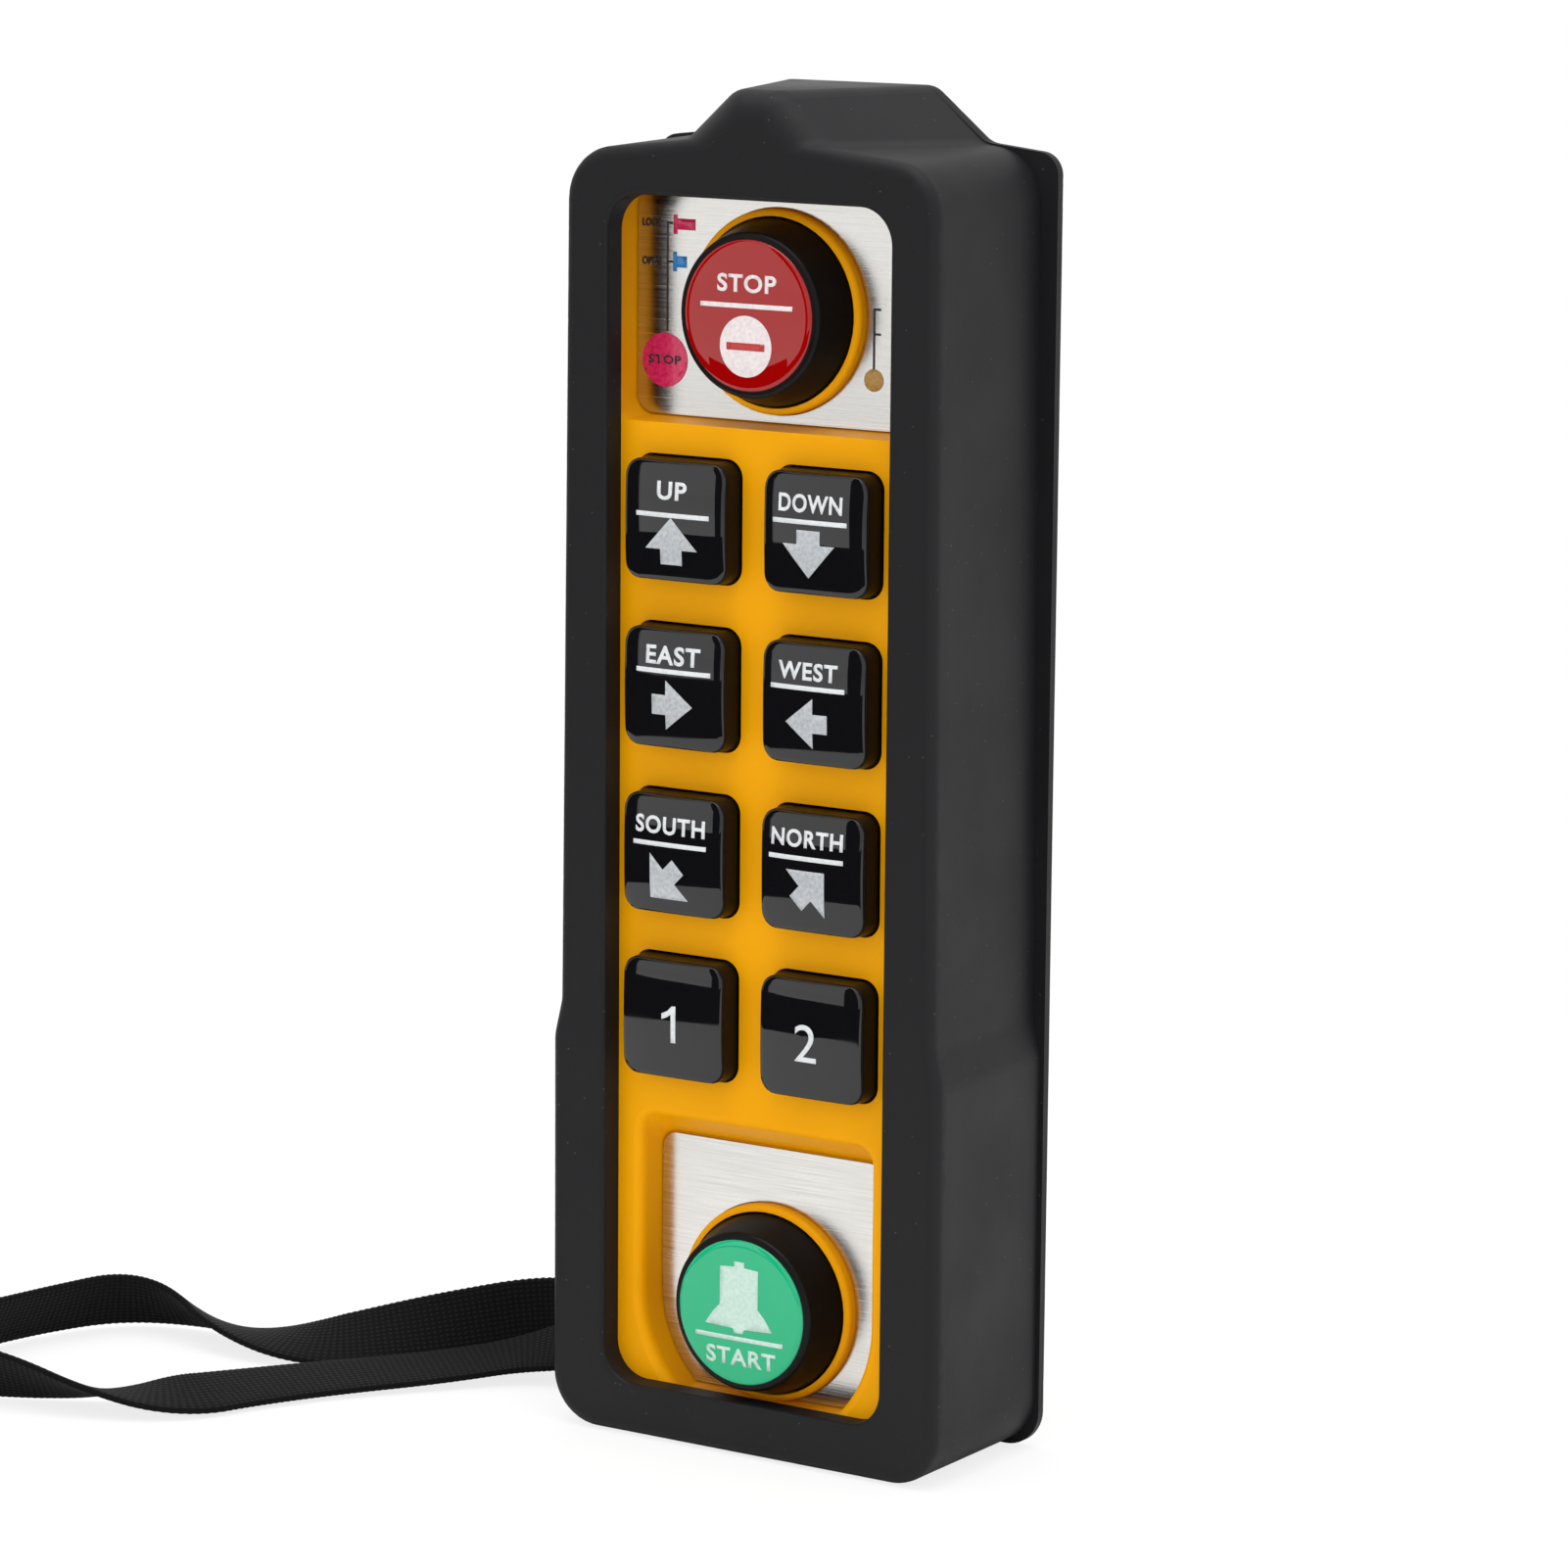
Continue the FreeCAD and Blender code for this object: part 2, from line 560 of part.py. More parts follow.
def tray_size():
    """Half-width, bottom and top of the space for the two cells."""
    half = CELL_DIAMETER + CELL_GAP / 2 + CELL_FIT
    length = CELL_LENGTH + CELL_NUB_LENGTH + CONTACT_CONE_LENGTH + 2 * CONTACT_THICKNESS
    return half, KEYPAD_HEIGHT - length / 2, KEYPAD_HEIGHT + length / 2


def tray_floor_y():
    return BOARD_BACK_Y + TRAY_BOARD_GAP + TRAY_FLOOR


def cover_ends():
    half, bottom, top = tray_size()
    return bottom - COVER_END_MARGIN, top + COVER_END_MARGIN


def cover_screw_heights():
    bottom, top = cover_ends()
    return (("lower", bottom + COVER_SCREW_INSET), ("upper", top - COVER_SCREW_INSET))


def cover_seal_outline(y, inner):
    half, bottom, top = tray_size()
    width = 0 if inner else SEAL_WIDTH
    grow = TRAY_WALL + SEAL_SETBACK + width
    return rectangle(2 * (half + grow), bottom - grow, top + grow, SEAL_CORNER + width, y)


def cover_seal(y):
    outside = prism(cover_seal_outline(y, False), SEAL_DEPTH)
    return outside.cut(prism(cover_seal_outline(y, True), SEAL_DEPTH))


def antenna_height():
    return SHOULDER_HEIGHT + HUMP_HEIGHT - CAVITY_INSET - ANTENNA_DROP


def rear_shell():
    half, bottom, top = tray_size()
    floor = tray_floor_y()
    bevel_y = BACK_Y - BACK_BEVEL
    bevel = loft(case_outline(CASE_INSET, bevel_y), case_outline(CASE_INSET + BACK_BEVEL, BACK_Y))
    outside = case_body(CASE_INSET, REAR_START_Y, bevel_y).fuse(bevel)
    shell = outside.cut(case_body(CAVITY_INSET, REAR_START_Y, BACK_INNER_Y))
    reach = half + TRAY_WALL
    tray = box(-reach, reach, floor - TRAY_FLOOR, BACK_Y, bottom - TRAY_WALL, top + TRAY_WALL)
    pocket_top = STRAP_POCKET_BOTTOM + STRAP_WIDTH + 2 * STRAP_GAP + STRAP_PIN_BITE + STRAP_POCKET_WALL
    pocket_side = STRAP_POCKET_INNER_X + STRAP_POCKET_WALL
    pocket_wall = box(-SLEEVE_LOWER_WIDTH / 2, pocket_side, REAR_START_Y, BACK_Y, 0, pocket_top)
    solid = [tray, pocket_wall.common(outside)]
    cuts = [
        box(-half, half, floor, BACK_Y, bottom, top),
        cover_seal(BACK_Y - SEAL_DEPTH),
        strap_pocket(-SLEEVE_LOWER_WIDTH, STRAP_POCKET_INNER_X),
        strap_pin(),
    ]
    socket = ANTENNA_DIAMETER / 2 + ANTENNA_FIT
    socket_start = BACK_INNER_Y - ANTENNA_SOCKET_LENGTH
    solid.append(rod(socket + ANTENNA_SOCKET_WALL, 0, antenna_height(), socket_start, BACK_INNER_Y))
    cuts.append(rod(socket, 0, antenna_height(), socket_start, BACK_INNER_Y))
    for x, z in mirrored_places(CASE_SCREW_PLACES):
        solid.append(rod(CASE_BOSS / 2, x, z, REAR_START_Y, BACK_INNER_Y))
        cuts.append(rod(CASE_SCREW_SHAFT / 2, x, z, REAR_START_Y, BACK_Y))
        cuts.append(rod(CASE_SCREW_HEAD / 2, x, z, BACK_Y - CASE_SCREW_HEAD_HEIGHT, BACK_Y))
    for side, z in cover_screw_heights():
        tip = BACK_Y + COVER_THICKNESS - COVER_SCREW_HEAD_HEIGHT - COVER_SCREW_LENGTH
        solid.append(rod(COVER_BOSS / 2, 0, z, tip - COVER_SCREW_FIT, BACK_INNER_Y))
        cuts.append(rod(COVER_SCREW_SHAFT / 2 + COVER_SCREW_FIT, 0, z, tip - COVER_SCREW_FIT, BACK_Y))
    return shell.multiFuse(solid).cut(Part.makeCompound(cuts)).removeSplitter()


def case_screw_tip():
    return BACK_Y - CASE_SCREW_HEAD_HEIGHT - CASE_SCREW_LENGTH


def board_screw_tip():
    return BOARD_BACK_Y - BOARD_SCREW_LENGTH


def board_screw_places():
    rows = [KEYPAD_HEIGHT + step * KEY_PITCH_Z for step in (-1, 0, 1)]
    return mirrored_places([(BOARD_SCREW_X, z) for z in rows])


def screw(x, z, shaft, head, head_height, tip_y, seat_y):
    """Screw with its head behind the seat and its tip towards the front."""
    return rod(shaft / 2, x, z, tip_y, seat_y).fuse(rod(head / 2, x, z, seat_y, seat_y + head_height))


def case_screws():
    seat = BACK_Y - CASE_SCREW_HEAD_HEIGHT
    return Part.makeCompound([
        screw(x, z, CASE_SCREW_SHAFT, CASE_SCREW_HEAD, CASE_SCREW_HEAD_HEIGHT, case_screw_tip(), seat)
        for x, z in mirrored_places(CASE_SCREW_PLACES)
    ])


def board_screws():
    tip = board_screw_tip()
    return Part.makeCompound([
        screw(x, z, BOARD_SCREW_SHAFT, BOARD_SCREW_HEAD, BOARD_SCREW_HEAD_HEIGHT, tip, BOARD_BACK_Y)
        for x, z in board_screw_places()
    ])


def circuit_board():
    board = prism(rectangle(BOARD_WIDTH, BOARD_BOTTOM, BOARD_TOP, BOARD_CORNER, BOARD_Y), BOARD_THICKNESS)
    holes = [rod(BOARD_SCREW_SHAFT / 2, x, z, BOARD_Y, BOARD_BACK_Y) for x, z in board_screw_places()]
    return board.cut(Part.makeCompound(holes))


def radio_module():
    half, bottom, top = tray_size()
    z = (top + TRAY_WALL + BOARD_TOP) / 2
    can = rectangle(RADIO_WIDTH, z - RADIO_HEIGHT / 2, z + RADIO_HEIGHT / 2, BOARD_CORNER, BOARD_BACK_Y)
    return prism(can, RADIO_DEPTH)


def control_chip():
    half, bottom, top = tray_size()
    z = (bottom - TRAY_WALL + BOARD_BOTTOM) / 2
    chip = rectangle(CHIP_SIZE, z - CHIP_SIZE / 2, z + CHIP_SIZE / 2, MIN_RADIUS, BOARD_BACK_Y)
    return prism(chip, CHIP_DEPTH)


def antenna():
    return rod(ANTENNA_DIAMETER / 2, 0, antenna_height(), BACK_INNER_Y - ANTENNA_LENGTH, BACK_INNER_Y)


def battery_cell(side):
    """Cell with its nub up on the right and down on the left."""
    half, bottom, top = tray_size()
    x = side * (CELL_DIAMETER + CELL_GAP) / 2
    y = tray_floor_y() + CELL_FIT + CELL_DIAMETER / 2
    start = bottom + CONTACT_THICKNESS + CONTACT_CONE_LENGTH
    end = start + CELL_LENGTH
    cell = Part.makeCylinder(CELL_DIAMETER / 2, CELL_LENGTH, vector(x, y, start))
    cell = cell.makeFillet(MIN_RADIUS, cell.Edges)
    cell = cell.fuse(Part.makeCylinder(CELL_NUB_DIAMETER / 2, CELL_NUB_LENGTH, vector(x, y, end)))
    if side < 0:
        cell.rotate(vector(x, y, (bottom + top) / 2), vector(0, 1, 0), 180)
    return cell


def battery_contacts():
    """Plate at each end of each cell, with a spring cone on the flat end."""
    half, bottom, top = tray_size()
    y = tray_floor_y() + CELL_FIT + CELL_DIAMETER / 2
    reach = CONTACT_SIZE / 2
    tip = CELL_NUB_DIAMETER / 2
    contacts = []
    for side in (-1, 1):
        x = side * (CELL_DIAMETER + CELL_GAP) / 2
        for z, up in ((bottom, 1), (top, -1)):
            base = z + up * CONTACT_THICKNESS
            plate = box(x - reach, x + reach, y - reach, y + reach, min(z, base), max(z, base))
            if up == side:
                foot = vector(x, y, base)
                plate = plate.fuse(Part.makeCone(reach, tip, CONTACT_CONE_LENGTH, foot, vector(0, 0, up)))
            contacts.append(plate)
    return Part.makeCompound(contacts)


def battery_cover():
    bottom, top = cover_ends()
    cover = prism(rectangle(COVER_WIDTH, bottom, top, COVER_CORNER, BACK_Y), COVER_THICKNESS)
    outer_y = BACK_Y + COVER_THICKNESS
    seat = outer_y - COVER_SCREW_HEAD_HEIGHT
    cover = rounded_at(cover, outer_y, COVER_EDGE_RADIUS)
    holes = []
    for side, z in cover_screw_heights():
        holes.append(rod(COVER_SCREW_SHAFT / 2 + COVER_SCREW_FIT, 0, z, BACK_Y, outer_y))
        holes.append(rod(COVER_SCREW_HEAD / 2 + COVER_SCREW_FIT, 0, z, seat, outer_y))
    return cover.cut(Part.makeCompound(holes))


def cover_screw(z):
    seat = BACK_Y + COVER_THICKNESS - COVER_SCREW_HEAD_HEIGHT
    tip = seat - COVER_SCREW_LENGTH
    return screw(0, z, COVER_SCREW_SHAFT, COVER_SCREW_HEAD, COVER_SCREW_HEAD_HEIGHT, tip, seat)


def key_cap(x, z):
    flange = prism(key_square(KEY_FLANGE, KEY_CORNER, x, z, KEY_FLANGE_Y), KEY_FLANGE_THICKNESS)
    neck = prism(key_square(KEY_SIZE, KEY_CORNER, x, z, FACE_Y), KEY_FLANGE_Y - FACE_Y)
    top = key_square(KEY_SIZE - 2 * KEY_DRAFT, KEY_CORNER - KEY_DRAFT, x, z, KEY_TOP_Y)
    crown = loft(top, key_square(KEY_SIZE, KEY_CORNER, x, z, FACE_Y))
    crown = rounded_at(crown, KEY_TOP_Y, KEY_EDGE_RADIUS)
    return flange.multiFuse([neck, crown]).removeSplitter()


def key_label(x, z):
    size = KEY_SIZE - 2 * KEY_DRAFT - 2 * KEY_LABEL_MARGIN
    front = KEY_TOP_Y - KEY_LABEL_THICKNESS
    tile = prism(key_square(size, KEY_CORNER - KEY_DRAFT, x, z, front), KEY_LABEL_THICKNESS)
    return rounded_at(tile, front, KEY_LABEL_CROWN)


def key_dome(x, z):
    """Hollow silicone cone on the board with a contact pill hanging inside its crown."""
    top = KEY_BACK_Y + DOME_GAP
    pill = BOARD_Y - KEY_TRAVEL
    profile = (
        (0, top), (DOME_TOP_RADIUS, top), (DOME_BASE_RADIUS, BOARD_Y),
        (DOME_BASE_RADIUS - DOME_WALL, BOARD_Y), (DOME_TOP_RADIUS - DOME_WALL / 2, top + DOME_WALL),
        (DOME_PILL_RADIUS, top + DOME_WALL), (DOME_PILL_RADIUS, pill), (0, pill),
    )
    dome = turned(profile, 0)
    dome.translate(vector(x, 0, z))
    return dome


def round_button(height, travel):
    """Hollow tapered cap with a central stem that carries the retaining clip."""
    skirt = BUTTON_SKIRT / 2
    cap = BUTTON_CAP / 2
    stem = BUTTON_STEM / 2
    skirt_back = FLOOR_Y + SKIRT_ENGAGEMENT
    collar_front = PLATE_FRONT_Y - COLLAR_PROUD
    front = FACE_Y - BUTTON_PROUD
    ceiling = front + BUTTON_WALL
    clip_y = button_cup_floor(travel) + CUP_FLOOR + CLIP_GAP
    clip_end = clip_y + CLIP_THICKNESS
    groove = stem - CLIP_GROOVE
    profile = (
        (0, front), (cap, front), (skirt, collar_front), (skirt, skirt_back),
        (skirt - BUTTON_WALL, skirt_back), (skirt - BUTTON_WALL, collar_front), (cap - BUTTON_WALL, ceiling),
        (stem, ceiling), (stem, clip_y), (groove, clip_y), (groove, clip_end), (stem, clip_end),
        (stem, clip_end + STEM_TAIL), (0, clip_end + STEM_TAIL),
    )
    return rounded_at(turned(profile, height), front, BUTTON_EDGE_RADIUS)


def button_label(height):
    front = FACE_Y - BUTTON_PROUD - BUTTON_LABEL_THICKNESS
    disc = rod(BUTTON_LABEL / 2, 0, height, front, front + BUTTON_LABEL_THICKNESS)
    return rounded_at(disc, front, BUTTON_LABEL_CROWN)


def button_clip(height, travel):
    start = button_cup_floor(travel) + CUP_FLOOR + CLIP_GAP
    ring = rod(CLIP_OUTER / 2, 0, height, start, start + CLIP_THICKNESS)
    groove = BUTTON_STEM / 2 - CLIP_GROOVE
    slot = box(-groove, groove, start, start + CLIP_THICKNESS, height - CLIP_OUTER, height)
    return ring.cut(rod(groove, 0, height, start, start + CLIP_THICKNESS)).cut(slot)


def button_bellows(height, travel):
    """Pleated silicone boot round the stem, from the cup's floor to the underside of the cap."""
    start = FACE_Y - BUTTON_PROUD + BUTTON_WALL + DOME_GAP
    end = button_cup_floor(travel)
    steps = 2 * BELLOWS_FOLDS
    inner = BELLOWS_INNER / 2
    outer = BELLOWS_OUTER / 2 - BELLOWS_WALL
    pitch = (end - start) / steps
    inside = [(inner if step % 2 == 0 else outer, start + step * pitch) for step in range(steps + 1)]
    outside = [(radius + BELLOWS_WALL, y) for radius, y in reversed(inside)]
    return turned(inside + outside, height)


def button_switch(height, travel):
    """Contact block on the back wall, with its plunger just short of the pressed stem."""
    stem_end = button_cup_floor(travel) + CUP_FLOOR + CLIP_GAP + CLIP_THICKNESS + STEM_TAIL
    plunger = stem_end + travel + SWITCH_GAP
    half = SWITCH_SIZE / 2
    block = box(-half, half, plunger + SWITCH_PLUNGER_LENGTH, BACK_INNER_Y, height - half, height + half)
    return block.fuse(rod(SWITCH_PLUNGER / 2, 0, height, plunger, plunger + SWITCH_PLUNGER_LENGTH))


def button_plate(recess, height):
    hole = rod(COLLAR_OUTER / 2 + PLATE_FIT, 0, height, PLATE_FRONT_Y, FLOOR_Y)
    return prism(recess, PLATE_THICKNESS).cut(hole)


def stop_plate():
    return button_plate(stop_recess(-PLATE_FIT, RECESS_DRAFT, PLATE_FRONT_Y), STOP_HEIGHT)


def start_plate():
    return button_plate(start_recess(-PLATE_FIT, RECESS_DRAFT, START_TOP_SLOPE, PLATE_FRONT_Y), START_HEIGHT)


def strap_pin():
    top = STRAP_POCKET_BOTTOM + STRAP_WIDTH + 2 * STRAP_GAP + STRAP_PIN_BITE
    bottom = STRAP_POCKET_BOTTOM - STRAP_PIN_BITE
    return Part.makeCylinder(STRAP_PIN_DIAMETER / 2, top - bottom, vector(STRAP_PIN_X, STRAP_PIN_Y, bottom))


def wrist_strap():
    """Webbing loop on edge, round the pin and out along the route, tilted down to the table."""
    turn = STRAP_PIN_DIAMETER / 2 + STRAP_PIN_GAP + STRAP_THICKNESS / 2
    z = STRAP_POCKET_BOTTOM + STRAP_GAP
    plan = [vector(STRAP_PIN_X, STRAP_PIN_Y + turn, z)]
    plan += [vector(STRAP_PIN_X + x, STRAP_PIN_Y + y, z) for x, y in STRAP_ROUTE]
    plan += [vector(STRAP_PIN_X, STRAP_PIN_Y - turn, z)]
    edges = [Part.Arc(plan[-1], vector(STRAP_PIN_X + turn, STRAP_PIN_Y, z), plan[0]).toShape()]
    place = plan[0]
    radii = []
    for before, corner, after in zip(plan, plan[1:], plan[2:]):
        back = before - corner
        ahead = after - corner
        reach = 0.45 * min(back.Length, ahead.Length)
        half_angle = back.getAngle(ahead) / 2
        radius = reach * math.tan(half_angle)
        back.normalize()
        ahead.normalize()
        middle = corner + (back + ahead).normalize() * (radius / math.sin(half_angle) - radius)
        edges.append(Part.LineSegment(place, corner + back * reach).toShape())
        edges.append(Part.Arc(corner + back * reach, middle, corner + ahead * reach).toShape())
        place = corner + ahead * reach
        radii.append(round(radius, 1))
    edges.append(Part.LineSegment(place, plan[-1]).toShape())
    loop = Part.Wire(edges)
    outer = loop.makeOffset2D(STRAP_THICKNESS / 2)
    inner = loop.makeOffset2D(-STRAP_THICKNESS / 2)
    strap = Part.Face(outer).cut(Part.Face(inner)).extrude(vector(0, 0, STRAP_WIDTH))
    strap.rotate(vector(STRAP_PIN_X, STRAP_PIN_Y, z), vector(0, 1, 0), -STRAP_TILT)
    print("strap length", round(loop.Length, 1), "radii", radii)
    section = STRAP_THICKNESS * STRAP_WIDTH
    print("strap volume over section times length", round(strap.Volume / (loop.Length * section), 4))
    return strap


def all_parts():
    parts = {
        "rubber_sleeve": rubber_sleeve(),
        "front_shell": front_shell(),
        "rear_shell": rear_shell(),
        "shell_gasket": shell_gasket(),
        "shell_screws": case_screws(),
        "stop_plate": stop_plate(),
        "start_plate": start_plate(),
        "circuit_board": circuit_board(),
        "board_screws": board_screws(),
        "radio_module": radio_module(),
        "control_chip": control_chip(),
        "antenna": antenna(),
        "battery_cell_left": battery_cell(-1),
        "battery_cell_right": battery_cell(1),
        "battery_contacts": battery_contacts(),
        "battery_cover": battery_cover(),
        "battery_cover_seal": cover_seal(BACK_Y - SEAL_DEPTH),
        "strap_pin": strap_pin(),
        "wrist_strap": wrist_strap(),
    }
    for side, z in cover_screw_heights():
        parts["cover_screw_" + side] = cover_screw(z)
    for name, x, z in key_places():
        parts["key_" + name] = key_cap(x, z)
        parts["key_" + name + "_label"] = key_label(x, z)
        parts["key_" + name + "_dome"] = key_dome(x, z)
    for name, height, travel in (("stop", STOP_HEIGHT, STOP_TRAVEL), ("start", START_HEIGHT, START_TRAVEL)):
        parts[name + "_button"] = round_button(height, travel)
        parts[name + "_label"] = button_label(height)
        parts[name + "_clip"] = button_clip(height, travel)
        parts[name + "_bellows"] = button_bellows(height, travel)
        parts[name + "_switch"] = button_switch(height, travel)
    return parts


os.makedirs("parts", exist_ok=True)
for node, shape in all_parts().items():
    shape.exportStep("parts/" + node + ".step")
    print(node, "solids", len(shape.Solids), "valid", shape.isValid(), "volume", round(shape.Volume, 1))
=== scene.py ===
# %% [markdown]
# # A radio hand control for a hoist
#
# The handset is a yellow plastic case in a black rubber sleeve, with eight keys, a STOP button, a START
# button and a wrist strap. The solids come from CAD and stay where they are. This lesson gives them their
# finishes, and models again the pieces that CAD keeps plain: the domed tiles, their printing and the strap.

# %% Load the CAD frame
import json
import math
from itertools import accumulate

import bmesh
import bpy
from mathutils import Matrix, Vector
from mathutils.bvhtree import BVHTree


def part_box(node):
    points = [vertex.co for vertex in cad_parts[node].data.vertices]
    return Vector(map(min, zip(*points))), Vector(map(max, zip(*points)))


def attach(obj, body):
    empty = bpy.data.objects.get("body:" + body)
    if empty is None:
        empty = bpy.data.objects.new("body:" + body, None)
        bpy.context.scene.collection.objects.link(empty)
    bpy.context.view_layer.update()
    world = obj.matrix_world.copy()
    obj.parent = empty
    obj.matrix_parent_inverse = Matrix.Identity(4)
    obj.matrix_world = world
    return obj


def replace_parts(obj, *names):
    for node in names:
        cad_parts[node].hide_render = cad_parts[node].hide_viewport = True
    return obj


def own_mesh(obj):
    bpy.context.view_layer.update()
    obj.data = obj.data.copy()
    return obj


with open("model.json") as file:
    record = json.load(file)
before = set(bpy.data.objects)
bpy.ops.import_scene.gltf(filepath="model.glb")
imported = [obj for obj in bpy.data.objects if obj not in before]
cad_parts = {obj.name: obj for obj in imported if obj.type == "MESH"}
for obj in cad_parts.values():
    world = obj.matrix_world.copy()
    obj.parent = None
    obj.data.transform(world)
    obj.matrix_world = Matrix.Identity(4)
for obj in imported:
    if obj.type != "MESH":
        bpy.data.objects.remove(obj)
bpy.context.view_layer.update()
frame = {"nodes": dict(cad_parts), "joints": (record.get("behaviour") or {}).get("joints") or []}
nodes = frame["nodes"]
MM = 0.001

# %% [markdown]
# ## Camera
#
# The photograph was taken from the right of the handset and a little above it, with a long lens. The camera
# could be placed by eye, but its angles were fitted to the key grid, so it is set from them. It stands back
# from the middle of the handset along one direction, and two small shifts frame the view as the photograph
# is framed.

# %% Camera
AIM = Vector((0, -11.5, 102.8)) * MM
AZIMUTH, ELEVATION, ROLL = (math.radians(angle) for angle in (33.15, 9.92, 0.48))
DISTANCE, SHIFT_RIGHT, SHIFT_UP = 869 * MM, 3.99 * MM, -0.93 * MM
SENSOR_WIDTH, FOCAL_LENGTH = 36, 135.1  # Blender takes these two in millimetres
NEAREST = 50 * MM

back = Vector((math.sin(AZIMUTH) * math.cos(ELEVATION), -math.cos(AZIMUTH) * math.cos(ELEVATION),
               math.sin(ELEVATION)))
right = Vector((math.cos(AZIMUTH), math.sin(AZIMUTH), 0))
up = back.cross(right)
stand = AIM + back * DISTANCE + right * SHIFT_RIGHT + up * SHIFT_UP
turn = Matrix((right, up, back)).transposed().to_4x4()
camera = bpy.data.objects.new("photo_camera", bpy.data.cameras.new("photo_camera"))
camera.data.sensor_width = SENSOR_WIDTH
camera.data.lens = FOCAL_LENGTH
camera.data.clip_start = NEAREST
camera.matrix_world = Matrix.Translation(stand) @ turn @ Matrix.Rotation(ROLL, 4, "Z")
bpy.context.scene.collection.objects.link(camera)
bpy.context.scene.camera = camera
print("camera at", [round(c, 3) for c in camera.matrix_world.translation])

# %% [markdown]
# ## From a bmesh to a piece
#
# Every new mesh goes through one helper, which turns a bmesh into an object at the origin with its finishes.
# A piece of the handset is also smoothed and made to ride on the CAD body that it moves with.

# %% Helpers that make an object and a piece
def mesh_object(name, bm, *finishes):
    mesh = bpy.data.meshes.new(name)
    bm.to_mesh(mesh)
    bm.free()
    for finish in finishes:
        mesh.materials.append(finish)
    made = bpy.data.objects.new(name, mesh)
    bpy.context.scene.collection.objects.link(made)
    return made


def make_piece(name, bm, body, slot, *finishes):
    piece = mesh_object(name, bm, *finishes)
    piece.data.shade_smooth()
    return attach(piece, body)


# %% [markdown]
# ## Finishes
#
# A finish is one Principled shader with a few procedural nodes before it. Nodes could be made and linked one
# by one, but most take several inputs, so one helper makes a node from a table in which a socket is linked
# and a plain value is set. A colour is written as a screen shows it, and shaders take linear light.

# %% A finish and its nodes
def shade(hex_colour):
    parts = [int(hex_colour[i:i + 2], 16) / 255 for i in (1, 3, 5)]
    return tuple(c / 12.92 if c <= 0.04045 else ((c + 0.055) / 1.055) ** 2.4 for c in parts) + (1,)


def new_finish(name, colour, roughness, **sockets):
    finish = bpy.data.materials.new(name)
    finish.use_nodes = True
    shader = finish.node_tree.nodes["Principled BSDF"]
    shader.inputs["Base Color"].default_value = shade(colour)
    shader.inputs["Roughness"].default_value = roughness
    for socket, value in sockets.items():
        shader.inputs[socket.replace("_", " ")].default_value = value
    return finish


def add_node(finish, kind, inputs, **settings):
    made = finish.node_tree.nodes.new(kind)
    for key, value in settings.items():
        setattr(made, key, value)
    for key, value in inputs.items():
        if isinstance(value, bpy.types.NodeSocket):
            finish.node_tree.links.new(value, made.inputs[key])
        else:
            made.inputs[key].default_value = value
    return made


def feed(finish, socket, source):
    shader = finish.node_tree.nodes["Principled BSDF"]
    finish.node_tree.links.new(source, shader.inputs[socket])


print("mid grey of a screen in linear light:", round(shade("#808080")[0], 3))

# %% [markdown]
# ### Patterns
#
# No real surface is even, so a pattern varies the gloss, the colour and the height of each finish. A picture
# could hold the pattern, but a noise texture has no seams. It reads Object coordinates, which are metres
# here, so a noise scale of 1000 makes spots of about a millimetre.

# %% Patterns for finishes
FULL_REACH = (0, 1)
NOISE_REACH = (0.3, 0.7)  # most values of a noise texture lie between these
MIDDLE_REACH = (0.35, 0.65)


def object_place(finish, scale=(1, 1, 1)):
    place = add_node(finish, "ShaderNodeTexCoord", {}).outputs["Object"]
    return add_node(finish, "ShaderNodeMapping", {"Vector": place, "Scale": scale}).outputs["Vector"]


def noise(finish, scale, detail=3, stretch=(1, 1, 1)):
    return add_node(finish, "ShaderNodeTexNoise", {
        "Vector": object_place(finish, stretch), "Scale": scale, "Detail": detail}).outputs["Fac"]


def spread(finish, pattern, reach, low, high, **settings):
    return add_node(finish, "ShaderNodeMapRange", {
        "Value": pattern, "From Min": reach[0], "From Max": reach[1], "To Min": low, "To Max": high},
        **settings).outputs["Result"]


def vary_roughness(finish, pattern, low, high, reach=NOISE_REACH):
    feed(finish, "Roughness", spread(finish, pattern, reach, low, high))


def vary_colour(finish, pattern, first, second, reach=NOISE_REACH):
    share = spread(finish, pattern, reach, *FULL_REACH)
    # A Mix node has sockets of one name for each kind of data, so its colour sockets go by number.
    made = add_node(finish, "ShaderNodeMix", {0: share, 6: shade(first), 7: shade(second)}, data_type="RGBA")
    feed(finish, "Base Color", made.outputs[2])


def bump(finish, height, depth, strength):
    made = add_node(finish, "ShaderNodeBump", {"Height": height, "Strength": strength, "Distance": depth})
    feed(finish, "Normal", made.outputs["Normal"])


print("noise is read between", NOISE_REACH)

# %% [markdown]
# ### Rubber of the sleeve
#
# The sleeve is moulded rubber: nearly black, with little shine, a fine grain and pale dust. Dust could be
# small pieces of its own, but it has no height worth modelling. Here each cell of a Voronoi texture holds
# one speck, where the distance to the cell's own point is smallest.

